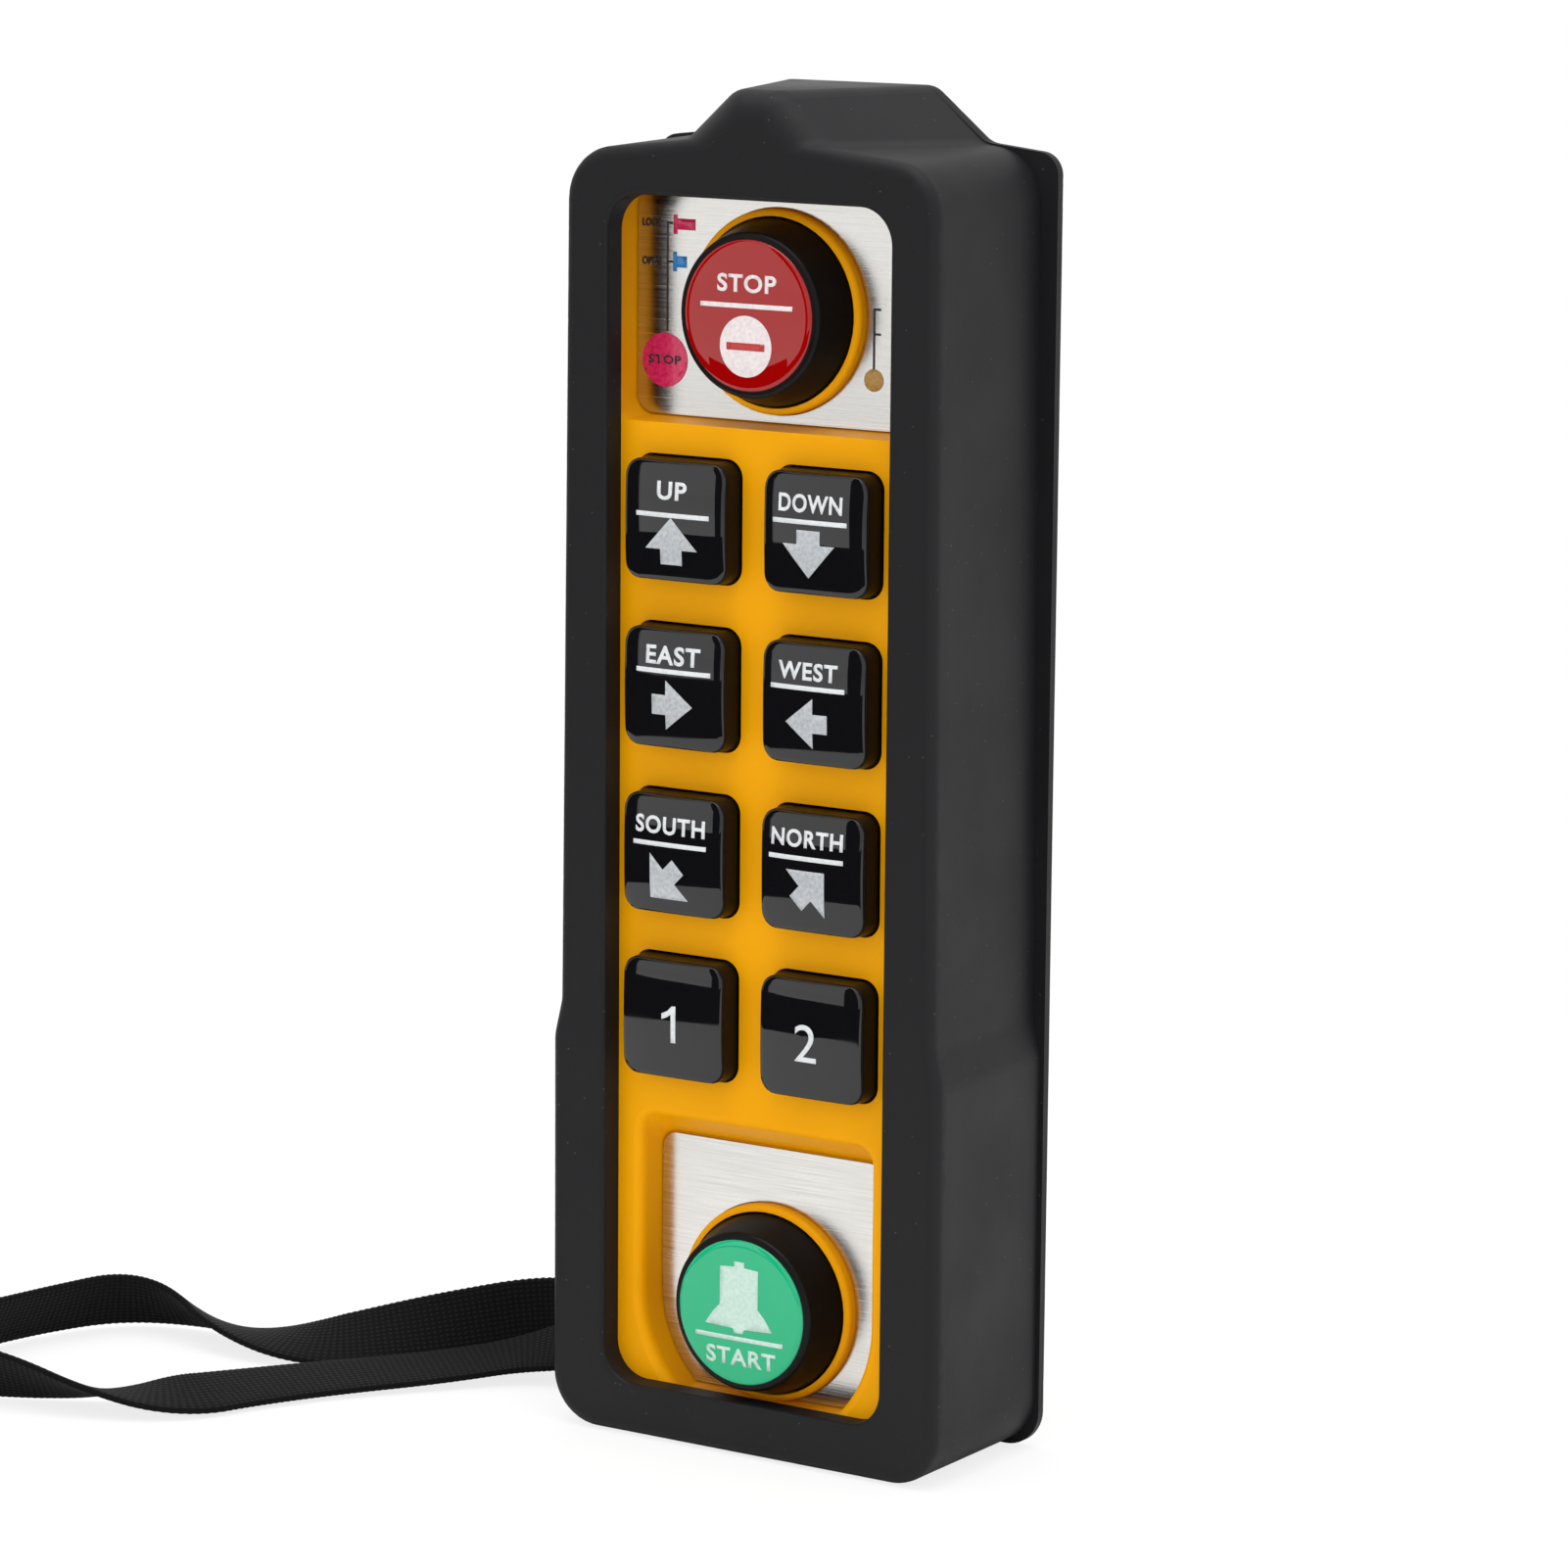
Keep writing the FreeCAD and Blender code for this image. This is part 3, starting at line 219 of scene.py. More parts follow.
# %% Rubber of the sleeve
SPECK_REACH = (0.03, 0.07)  # a speck fades out between these distances, as shares of a cell
SLEEVE_BLACK, DUST_GREY = "#19191b", "#404042"
sleeve_rubber = new_finish("sleeve_rubber", SLEEVE_BLACK, roughness=0.5, Specular_IOR_Level=0.17)
vary_roughness(sleeve_rubber, noise(sleeve_rubber, scale=60, detail=5), low=0.46, high=0.58)
specks = add_node(sleeve_rubber, "ShaderNodeTexVoronoi", {
    "Vector": object_place(sleeve_rubber), "Scale": 420, "Randomness": 1}).outputs["Distance"]
vary_colour(sleeve_rubber, specks, DUST_GREY, SLEEVE_BLACK, SPECK_REACH)
bump(sleeve_rubber, noise(sleeve_rubber, scale=2600, detail=2), depth=0.06 * MM, strength=0.25)
print("rubber:", sleeve_rubber.name)

# %% [markdown]
# ### Yellow plastic of the case
#
# The case is a plastic that is coloured right through, with a satin surface. One flat yellow would look
# painted, so two yellows that are close together drift into each other over a few centimetres, and a much
# finer noise gives the grain of the mould.

# %% Yellow plastic
yellow_plastic = new_finish("yellow_plastic", "#e89e03", roughness=0.38, Specular_IOR_Level=0.06)
vary_colour(yellow_plastic, noise(yellow_plastic, scale=30, detail=4), "#e59c02", "#eca204", MIDDLE_REACH)
vary_roughness(yellow_plastic, noise(yellow_plastic, scale=180), low=0.34, high=0.42)
bump(yellow_plastic, noise(yellow_plastic, scale=3200, detail=2), depth=0.05 * MM, strength=0.2)
print("case:", yellow_plastic.name)

# %% [markdown]
# ### Brushed metal of the plates
#
# The two plates are aluminium, brushed from side to side. An anisotropic shader stretches the highlight but
# shows no strokes. A noise that is stretched from side to side makes strokes, and the same strokes drive the
# colour, the gloss and the height, so that they agree.

# %% Brushed metal
brushed_plate = new_finish("brushed_plate", "#c9c7c4", roughness=0.3, Metallic=1.0)
strokes = noise(brushed_plate, scale=6, detail=4, stretch=(12, 900, 900))
vary_roughness(brushed_plate, strokes, low=0.16, high=0.28)
vary_colour(brushed_plate, strokes, "#bfbdb9", "#e4e2de")
bump(brushed_plate, strokes, depth=0.03 * MM, strength=0.28)
print("plates:", brushed_plate.name)

# %% [markdown]
# ### Black plastics
#
# The key caps and the round buttons are moulded in the same black plastic, and the buttons are handled more
# and shine a little more. One function makes both, with the gloss as its only difference.

# %% Black plastics
def moulded_black(name, roughness):
    finish = new_finish(name, "#09090a", roughness, Specular_IOR_Level=0.14)
    vary_roughness(finish, noise(finish, scale=300), low=roughness - 0.05, high=roughness + 0.06)
    bump(finish, noise(finish, scale=3600, detail=2), depth=0.04 * MM, strength=0.25)
    return finish


key_plastic = moulded_black("key_plastic", roughness=0.38)
button_plastic = moulded_black("button_plastic", roughness=0.34)
print("black plastics:", key_plastic.name, button_plastic.name)

# %% [markdown]
# ### Resin of the tiles
#
# The tiles are covered with clear resin that was poured and set as a dome. A clear dome over a coloured
# ground would need many light bounces, and the eye sees only a colour under a very glossy skin. So the
# colour gets a low roughness with faint smudges, and the skin waves by a few hundredths of a millimetre.

# %% Resin of the tiles
SMUDGE_REACH, CLEAN, SMUDGED = (0.4, 0.7), 0.01, 0.05


def domed_resin(name, colour):
    finish = new_finish(name, colour, roughness=0.02)
    vary_roughness(finish, noise(finish, scale=90, detail=5), CLEAN, SMUDGED, SMUDGE_REACH)
    bump(finish, noise(finish, scale=140, detail=1), depth=0.04 * MM, strength=0.06)
    return finish


key_tile = domed_resin("key_tile", "#0e0e10")
red_tile = domed_resin("red_tile", "#8f0303")
green_tile = domed_resin("green_tile", "#14a674")
print("resins:", key_tile.name, red_tile.name, green_tile.name)

# %% [markdown]
# ### Inks
#
# Screen-printed ink is never quite even. Each ink is two close shades that a fine noise mixes. The white
# inks on the red and green discs take a little of the disc's colour through the resin, so they have shades
# of their own. The keys' white ink comes as two copies: the words and lines take a lighter copy than the
# arrows, a painted highlight where the soft box is mirrored in the resin.

# %% Inks
INK_SHADES = {
    # The first pair is the keys' white ink made lighter for the words and lines, a painted highlight where
    # the soft box is mirrored; the next pair is the same ink for the arrows.
    "ink_white_painted_highlight": ("#c6c9cb", "#d3d6d7"), "ink_grey": ("#9fa3a7", "#b4b7ba"),
    "ink_rose": ("#cdc1c2", "#dbd1d1"), "ink_mint": ("#afccbf", "#bed6cb"),
    "line_ink": ("#232021", "#302c2d"), "red_ink": ("#a31f1b", "#ad2a25"),
    "pink_ink": ("#c2184f", "#d0315f"), "blue_ink": ("#1f78bf", "#2c86ca"),
    "ochre_ink": ("#9a7226", "#ab8236"),
}


def printed_ink(name, first, second):
    finish = new_finish(name, first, roughness=0.15)
    vary_colour(finish, noise(finish, scale=1800), first, second, MIDDLE_REACH)
    vary_roughness(finish, noise(finish, scale=900), low=0.1, high=0.2)
    return finish


inks = {name: printed_ink(name, *shades) for name, shades in INK_SHADES.items()}
print("inks:", list(inks))

# %% [markdown]
# ### Pieces inside
#
# The board and the cells are hidden until the cover comes off, and the seals and screws are small. They need
# the right colour, gloss and grain and no more, so one function makes them all from a few values.

# %% Finishes of the pieces inside
ROUGHNESS_SWING = 0.06


def plain_finish(name, colour, roughness, grain, depth, **sockets):
    finish = new_finish(name, colour, roughness, **sockets)
    vary_roughness(finish, noise(finish, grain), roughness - ROUGHNESS_SWING, roughness + ROUGHNESS_SWING)
    bump(finish, noise(finish, scale=grain * 3, detail=2), depth, strength=0.3)
    return finish


finishes = {
    "sleeve_rubber": sleeve_rubber, "yellow_plastic": yellow_plastic, "brushed_plate": brushed_plate,
    "key_plastic": key_plastic, "button_plastic": button_plastic, "key_tile": key_tile,
    "red_tile": red_tile, "green_tile": green_tile,
    # Each of these has its name, colour and roughness, and the scale and depth of its grain.
    "silicone": plain_finish("silicone", "#4a4c4e", 0.5, 400, 0.03 * MM),
    "steel": plain_finish("steel", "#b9bbbd", 0.28, 500, 0.02 * MM, Metallic=1.0),
    "board_laminate": plain_finish("board_laminate", "#0d5a33", 0.35, 700, 0.02 * MM),
    "shield_can": plain_finish("shield_can", "#cfd0d0", 0.25, 350, 0.02 * MM, Metallic=1.0),
    "chip_epoxy": plain_finish("chip_epoxy", "#151516", 0.5, 900, 0.02 * MM),
    "cell_jacket": plain_finish("cell_jacket", "#2c3f66", 0.3, 200, 0.02 * MM),
}
print("finishes so far:", len(finishes))

# %% [markdown]
# ### Webbing
#
# The strap is woven, with ribs across it and a finer thread along it. Object coordinates would run straight
# through the bends, so the pattern reads the band's own UV map, in millimetres, and the weave follows every
# bend and turn.

# %% Woven webbing
strap_webbing = new_finish("strap_webbing", "#060607", roughness=0.75, Specular_IOR_Level=0.15,
                           Sheen_Weight=0.02)
woven_place = add_node(strap_webbing, "ShaderNodeUVMap", {}, uv_map="woven").outputs["UV"]


def yarn(scale, distortion, direction):
    return add_node(strap_webbing, "ShaderNodeTexWave", {
        "Vector": woven_place, "Scale": scale, "Distortion": distortion, "Detail": 1},
        bands_direction=direction).outputs["Fac"]


ribs = yarn(scale=0.32, distortion=0.6, direction="Y")
threads = yarn(scale=0.42, distortion=0.8, direction="X")
weave = add_node(strap_webbing, "ShaderNodeMath", {0: ribs, 1: threads}, operation="MULTIPLY").outputs[0]
vary_colour(strap_webbing, weave, "#040405", "#0f0f10", FULL_REACH)
vary_roughness(strap_webbing, weave, low=0.85, high=0.65, reach=FULL_REACH)
bump(strap_webbing, weave, depth=0.2 * MM, strength=0.6)
finishes["strap_webbing"] = strap_webbing
print("strap:", strap_webbing.name)

# %% [markdown]
# ### Finishes on the CAD nodes
#
# Each CAD node comes with a plain material that is named for its slot. The names match the table above, so
# one loop exchanges them all. Blender adds a number to a name that is taken, which is cut off first.

# %% Finishes on the CAD nodes
for node in nodes.values():
    node.data.materials[0] = finishes[node.data.materials[0].name.split(".")[0]]
print("finishes:", sorted(finishes))

# %% [markdown]
# ## Domed key tiles
#
# Each key carries a square tile of clear resin, flat at the back and domed in front, and the dome is what
# catches the light. A subdivided cube would round the corners and the dome together. Here the outline is
# drawn first, a square with four rounded corners, and rings are then lifted from it onto a pillow that
# falls both ways, faster near its edges. The outer rings reach only a part of that height, which turns the
# rim over.

# %% One domed tile, in millimetres, facing +Z
TILE_GROW, TILE_CORNER, CORNER_STEPS, SIDE_CUTS = 0.47, 2.6, 6, 14
DOME_HEIGHT, DOME_FALL, FALL_POWER = 1.05, 0.55, 2.5
TILE_RINGS = (  # share of the width, share of the height
    (1, 0.3), (0.99, 0.65), (0.97, 0.9), (0.94, 1), (0.9, 1), (0.85, 1), (0.8, 1), (0.72, 1), (0.63, 1),
    (0.52, 1), (0.4, 1), (0.28, 1), (0.15, 1))


def verts_in(made):
    return [v for v in made["geom"] if isinstance(v, bmesh.types.BMVert)]


def open_edges_in(made):
    return [e for e in made["geom"] if isinstance(e, bmesh.types.BMEdge) and e.is_boundary]


def domed_tile(width):
    bm = bmesh.new()
    bmesh.ops.create_grid(bm, x_segments=1, y_segments=1, size=width / 2)
    bmesh.ops.bevel(bm, geom=bm.verts[:], offset=TILE_CORNER, segments=CORNER_STEPS, profile=0.5,
                    affect="VERTICES", material=-1)
    sides = [e for e in bm.edges if e.calc_length() > TILE_CORNER]
    bmesh.ops.subdivide_edges(bm, edges=sides, cuts=SIDE_CUTS)
    edges, share = bm.edges[:], 1
    for next_share, lifted in TILE_RINGS:
        made = bmesh.ops.extrude_edge_only(bm, edges=edges)
        edges, verts = open_edges_in(made), verts_in(made)
        bmesh.ops.scale(bm, vec=(next_share / share, next_share / share, 1), verts=verts)
        for v in verts:
            fall = sum(abs(2 * c / width) ** FALL_POWER for c in v.co.xy)
            v.co.z = lifted * (DOME_HEIGHT - DOME_FALL * fall)
        share = next_share
    cap = bmesh.ops.contextual_create(bm, geom=edges)["faces"]
    for v in bmesh.ops.poke(bm, faces=cap)["verts"]:
        v.co.z = DOME_HEIGHT
    bmesh.ops.recalc_face_normals(bm, faces=bm.faces)
    return bm


print("a tile's dome:", DOME_HEIGHT, "mm high, in", len(TILE_RINGS), "rings")

# %% [markdown]
# ## Printing
#
# The words and arrows are printed under the resin. A texture could carry them, but this model has no
# pictures, so each mark is a thin sheet that is drawn flat first. A word comes from Blender's own font,
# turned into a mesh and stretched to the height and width of the real one.

# %% Words, drawn flat in millimetres
LETTER_WEIGHT, LETTER_GAP, LETTER_STEPS = 0.028, 1.1, 6


def mesh_from_curve(curve):
    holder = bpy.data.objects.new(curve.name, curve)
    mesh = bpy.data.meshes.new_from_object(holder)
    bpy.data.objects.remove(holder)
    bpy.data.curves.remove(curve)
    return mesh


def add_word(bm, word, centre, baseline, cap, width, weight=LETTER_WEIGHT):
    curve = bpy.data.curves.new(word, "FONT")
    curve.body = word
    curve.offset = weight
    curve.space_character = LETTER_GAP
    curve.resolution_u = LETTER_STEPS
    mesh = mesh_from_curve(curve)
    across, tall = [v.co.x for v in mesh.vertices], [v.co.y for v in mesh.vertices]
    fit = Matrix.Diagonal((width / (max(across) - min(across)), cap / (max(tall) - min(tall)), 1, 1))
    mesh.transform(Matrix.Translation((centre - width / 2, baseline, 0)) @ fit
                   @ Matrix.Translation((-min(across), -min(tall), 0)))
    bm.from_mesh(mesh)
    bpy.data.meshes.remove(mesh)


print("letters:", LETTER_GAP, "times the font's spacing")

# %% [markdown]
# ### Bars, discs, outlines and arrows
#
# The other marks are plain shapes. An arrow is symmetrical, so only one half is listed, pointing along +X,
# and the other half is its mirror image. Faces of an arrow take the second ink of their piece.

# %% Bars, discs, outlines and arrows
ROUND_STEPS = 48


def add_bar(bm, left, right, bottom, top):
    middle = Matrix.Translation(((left + right) / 2, (bottom + top) / 2, 0))
    stretched = Matrix.Diagonal((right - left, top - bottom, 1, 1))
    bmesh.ops.create_grid(bm, x_segments=1, y_segments=1, size=0.5, matrix=middle @ stretched)


def add_disc(bm, x, y, radius):
    bmesh.ops.create_circle(bm, cap_ends=True, segments=ROUND_STEPS, radius=radius,
                            matrix=Matrix.Translation((x, y, 0)))


def add_outline(bm, corners):
    return bm.faces.new([bm.verts.new((x, y, 0)) for x, y in corners])


def add_arrow(bm, tip, angle, length, head, half_head, half_stem):
    half = [(0, 0), (-head, half_head), (-head, half_stem), (-length, half_stem)]
    corners = half + [(x, -y) for x, y in reversed(half[1:])]
    turned = Matrix.Rotation(math.radians(angle), 2)
    add_outline(bm, [turned @ Vector(corner) + Vector(tip) for corner in corners]).material_index = 1


print("round marks have", ROUND_STEPS, "sides")

# %% [markdown]
# ### Laying the print on a surface
#
# Print follows the dome under it. A Shrinkwrap modifier moves only the corners that a sheet already has, so
# a long face would cut through the dome. Here the sheet is first cut into strips that can bend, then dropped
# onto the dome by casting a ray from each corner, and extruded to a very small thickness.

# %% Laying the print on a surface
INK_LIFT, INK_THICKNESS, STRIP, RAY_START = 0.02, 0.03, 1.2, 9
SECOND_COAT = INK_LIFT + 2 * INK_THICKNESS


def cut_across(bm, place, normal):
    bmesh.ops.bisect_plane(bm, geom=bm.verts[:] + bm.edges[:] + bm.faces[:], plane_co=place,
                           plane_no=normal)


def raise_faces(bm, height):
    """Extrudes every face of a flat sheet along +Z, and gives back the corners of its top."""
    top = verts_in(bmesh.ops.extrude_face_region(bm, geom=bm.faces[:]))
    bmesh.ops.translate(bm, vec=(0, 0, height), verts=top)
    bmesh.ops.recalc_face_normals(bm, faces=bm.faces)
    return top


def lay_on(bm, surface, lift=INK_LIFT):
    """Lays flat print on a surface, or on none for a flat plate."""
    bm.normal_update()
    bmesh.ops.triangulate(bm, faces=bm.faces)
    for axis in (Vector((1, 0, 0)), Vector((0, 1, 0))):
        reach = [v.co.dot(axis) for v in bm.verts]
        for step in range(math.ceil(min(reach) / STRIP), math.floor(max(reach) / STRIP) + 1):
            cut_across(bm, axis * step * STRIP, axis)
    for v in bm.verts:
        above = Vector((v.co.x, v.co.y, RAY_START))
        below = surface.ray_cast(above, Vector((0, 0, -1)))[0] if surface else v.co
        v.co.z = below.z + lift
    raise_faces(bm, INK_THICKNESS)


print("print:", INK_THICKNESS, "mm thick, in strips of", STRIP, "mm")

# %% [markdown]
# ### From a flat drawing to its place
#
# Tiles and print are made lying down, in millimetres, where they are easy to think about. One matrix turns
# them to face the front and sets them at the middle of the CAD label that they stand for, against its back.

# %% Places on the front
def facing_front(x, y, z):
    return Matrix.Translation((x, y, z)) @ Matrix.Rotation(math.pi / 2, 4, "X") @ Matrix.Scale(MM, 4)


def label_seat(label):
    """The place for a piece that stands for a label, and the label's width in millimetres."""
    low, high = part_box(label)
    seat = facing_front((low[0] + high[0]) / 2, high[1], (low[2] + high[2]) / 2)
    return seat, (high[0] - low[0]) / MM


print("the UP label is", round(label_seat("key_up_label")[1], 2), "mm wide")

# %% [markdown]
# ### Legends of the keys
#
# Six keys say which way the hoist moves, with a word, a line under it and an arrow. The other two carry a
# figure. The words could be centred by rule, but the real print sits a little off centre, by a different
# amount on each key, so each mark has its own place, measured from the middle of its tile.

# %% Legends of the keys
LINE = 0.7
key_words = {  # word, middle, baseline, cap height, width; line's ends and height
    "up": ("UP", -0.1, 3.2, 2.75, 5.25, -6.5, 6.4, 0.95),
    "down": ("DOWN", -0.5, 3.15, 2.7, 11.0, -7.0, 5.8, 1.8),
    "east": ("EAST", 0.2, 3.65, 2.85, 9.6, -6.35, 6.8, 2.7),
    "west": ("WEST", -0.7, 3.6, 2.65, 10.3, -7.15, 5.7, 2.45),
    "south": ("SOUTH", -0.2, 3.15, 2.7, 12.4, -6.8, 6.25, 1.65),
    "north": ("NORTH", -0.6, 3.8, 2.65, 12.5, -7.25, 5.75, 2.2),
}
key_arrows = {  # tip, direction in degrees, length, head length, half-widths of head and stem
    "up": ((-0.2, 0.6), 90, 7.0, 4.75, 4.6, 1.9), "down": ((-0.7, -6.4), 270, 7.0, 4.9, 4.5, 2.0),
    "east": ((3.75, -2.35), 0, 7.2, 4.75, 3.7, 1.5), "west": ((-4.4, -2.7), 180, 7.2, 4.7, 3.7, 1.4),
    "south": ((-3.7, -6.6), 225, 7.1, 4.8, 4.8, 1.45), "north": ((2.6, 0.4), 45, 7.05, 4.75, 4.75, 1.45),
}
figure_one = ((0.25, -3.3), (1.1, -3.3), (1.1, 2.3), (0.45, 2.3), (-0.35, 1.5), (-1.4, 1.0), (-1.4, 0.15),
              (-0.45, 0.5), (0.25, 1.0))
figure_two = ("2", -0.4, -3.2, 5.6, 3.8, 0)  # figure, middle, baseline, height, width, added weight


def key_legend(key):
    bm = bmesh.new()
    if key == "one":
        add_outline(bm, figure_one)
    elif key == "two":
        add_word(bm, *figure_two)
    else:
        *word, start, end, height = key_words[key]
        add_word(bm, *word)
        add_bar(bm, start, end, height - LINE / 2, height + LINE / 2)
        add_arrow(bm, *key_arrows[key])
    return bm


keys = [*key_words, "one", "two"]
print("legends to print:", keys)

# %% [markdown]
# ### Tiles and legends on their keys
#
# Each tile stands for the plain label in the CAD model, so it replaces that label and rides on its key. It
# is a little wider than the label, as poured resin swells over its edge.

# %% Tiles and legends on their keys
for key in keys:
    seat, label_width = label_seat(f"key_{key}_label")
    tile, legend = domed_tile(label_width + 2 * TILE_GROW), key_legend(key)
    lay_on(legend, BVHTree.FromBMesh(tile))
    for bm in (tile, legend):
        bm.transform(seat)
    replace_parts(make_piece(f"key_{key}_tile", tile, f"key_{key}", "key_tile", key_tile), f"key_{key}_label")
    # Words and lines take the lighter copy of the white ink, a painted highlight; the arrows take the plain
    # copy.
    make_piece(f"key_{key}_legend", legend, f"key_{key}", None, inks["ink_white_painted_highlight"], inks["ink_grey"])
print("key tiles:", keys)

# %% [markdown]
# ## Round discs
#
# The STOP and START buttons carry round domes of the same resin, red and green. A slice of a sphere curves
# evenly, but these are nearly flat and fall away near the rim. So half of the section is drawn from the
# middle out, falling with the fourth power of the radius, and spun once round.

# %% One domed disc, in millimetres, facing +Z
DISC_CROWN, DISC_FALL, DISC_POWER, DISC_RIM_TURN = 0.7, 0.25, 4, 1.2
DISC_STEPS, FLAT_STEPS, RIM_STEPS, MERGE_WITHIN = 72, 12, 6, 1e-4


def domed_disc(radius):
    flat, rim = radius - DISC_RIM_TURN, DISC_CROWN - DISC_FALL
    shares = [i / FLAT_STEPS for i in range(FLAT_STEPS + 1)]
    profile = [(flat * share, DISC_CROWN - DISC_FALL * share ** DISC_POWER) for share in shares]
    for i in range(1, RIM_STEPS + 1):
        angle = i / RIM_STEPS * math.pi / 2
        profile.append((flat + DISC_RIM_TURN * math.sin(angle), rim * math.cos(angle)))
    bm = bmesh.new()
    verts = [bm.verts.new((r, 0, h)) for r, h in profile + [(0, 0)]]
    edges = [bm.edges.new(pair) for pair in zip(verts, verts[1:])]
    bmesh.ops.spin(bm, geom=verts + edges, cent=(0, 0, 0), axis=(0, 0, 1), angle=2 * math.pi,
                   steps=DISC_STEPS, use_merge=True)
    bmesh.ops.remove_doubles(bm, verts=bm.verts, dist=MERGE_WITHIN)
    bmesh.ops.recalc_face_normals(bm, faces=bm.faces)
    return bm


print("a disc's crown:", DISC_CROWN, "mm high, in", DISC_STEPS, "steps")

# %% [markdown]
# ### Legends of the two discs
#
# STOP has its word, a line and a round sign with a bar across it. START has a bell-like sign, a line and its
# word. The START sign is symmetrical, so its right side is listed and mirrored.

# %% Legends of the two discs
start_side = ((0.9, 7.9), (0.9, 7.1), (3.4, 6.9), (3.4, 1.0), (4.6, -0.2), (6.0, -2.2), (1.0, -2.4),
              (0.7, -3.1))


def stop_legend():
    bm = bmesh.new()
    add_word(bm, "STOP", centre=0.1, baseline=3.4, cap=2.65, width=10.25)
    add_bar(bm, left=-8.0, right=8.0, bottom=1.1, top=1.8)
    add_disc(bm, x=0, y=-4.45, radius=4.5)
    return bm


def stop_sign_bar():
    bm = bmesh.new()
    add_bar(bm, left=-3.3, right=3.3, bottom=-5.0, top=-3.95)
    return bm


def start_legend():
    bm = bmesh.new()
    add_outline(bm, [*start_side, *((-x, y) for x, y in reversed(start_side))])
    add_bar(bm, left=-7.8, right=7.8, bottom=-4.3, top=-3.6)
    add_word(bm, "START", centre=0.35, baseline=-8.15, cap=2.7, width=12.4)
    return bm


discs = {"stop": (red_tile, "red_tile", stop_legend(), inks["ink_rose"]),
         "start": (green_tile, "green_tile", start_legend(), inks["ink_mint"])}
print("disc legends:", list(discs))

# %% [markdown]
# ### Discs on their buttons
#
# A disc goes on as a tile does. The bar of the STOP sign is red on white, a second coat over the first, so
# it lies a little higher. Two sheets at one height would flicker into each other.

# %% Discs on their buttons
stop_bar = stop_sign_bar()
for name, (finish, slot, legend, legend_ink) in discs.items():
    seat, label_width = label_seat(f"{name}_label")
    disc = domed_disc(label_width / 2)
    surface = BVHTree.FromBMesh(disc)
    lay_on(legend, surface)
    if name == "stop":
        lay_on(stop_bar, surface, SECOND_COAT)
        stop_bar.transform(seat)
    for bm in (disc, legend):
        bm.transform(seat)
    body = f"{name}_button"
    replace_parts(make_piece(f"{name}_disc", disc, body, slot, finish), f"{name}_label")
    make_piece(f"{name}_legend", legend, body, None, legend_ink)
make_piece("stop_bar", stop_bar, "stop_button", None, inks["red_ink"])
print("round discs:", list(discs))

# %% [markdown]
# ## Marks on the STOP plate
#
# A small diagram is printed on the brushed plate: a line that joins a round button to its two positions,
# locked and open. It is drawn as the legends are and laid on flat, measured from the middle of the button.
# Each coat of ink is a piece of its own, as in screen printing.

# %% Plate diagram
plate_inks = {"lines": "line_ink", "pink": "pink_ink", "blue": "blue_ink", "ochre": "ochre_ink",
              "word": "line_ink"}
plate_bars = {  # left, right, bottom and top
    "lines": ((-20, -19.65, -4, 12.2), (-19.7, -18.9, 11.85, 12.2), (-19.7, -18.9, 6.15, 6.5),
              (16.3, 16.65, -7.4, 1.45), (16.6, 17.6, 1.1, 1.45), (16.6, 17.6, -2.5, -2.15)),
    "pink": ((-18.8, -18.1, 10.4, 13.3), (-18.1, -14.9, 11.1, 12.75)),
    "blue": ((-18.85, -18.2, 4.9, 7.8), (-18.2, -16.4, 5.5, 7.2)),
}
plate_discs = {"pink": (-20.2, -8.3, 4.05), "ochre": (16.5, -9.05, 1.65)}  # middle and radius
plate_words = (("STOP", -20.2, -8.9, 1.3, 5.8), ("LOCK", -22.7, 11.4, 1.2, 3.3),
               ("OPEN", -22.7, 5.7, 1.2, 3.3))  # word, middle, baseline, cap height, width

plate_marks = {name: bmesh.new() for name in plate_inks}
for name, bars in plate_bars.items():
    for bar in bars:
        add_bar(plate_marks[name], *bar)
for name, disc in plate_discs.items():
    add_disc(plate_marks[name], *disc)
for word in plate_words:
    add_word(plate_marks["word"], *word)

plate_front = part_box("stop_plate")[0][1]
button_low, button_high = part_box("stop_button")
seat = facing_front(0, plate_front, (button_low[2] + button_high[2]) / 2)
for name, bm in plate_marks.items():
    lay_on(bm, None, SECOND_COAT if name == "word" else INK_LIFT)
    bm.transform(seat)
    make_piece(f"plate_{name}", bm, "handset", None, inks[plate_inks[name]])
print("plate marks:", list(plate_marks))

# %% [markdown]
# ## Wrist strap
#
# The strap is a flat woven band, about 10.6 mm wide, that goes round a pin in the case and lies on the table
# as one loop. It leaves the case on edge, lies down on one face, and turns over twice on its way round. Its
# line could be drawn with handles in the editor. Here it is a list of places with a lean at each, and one
# spline smooths the places and another the leans.

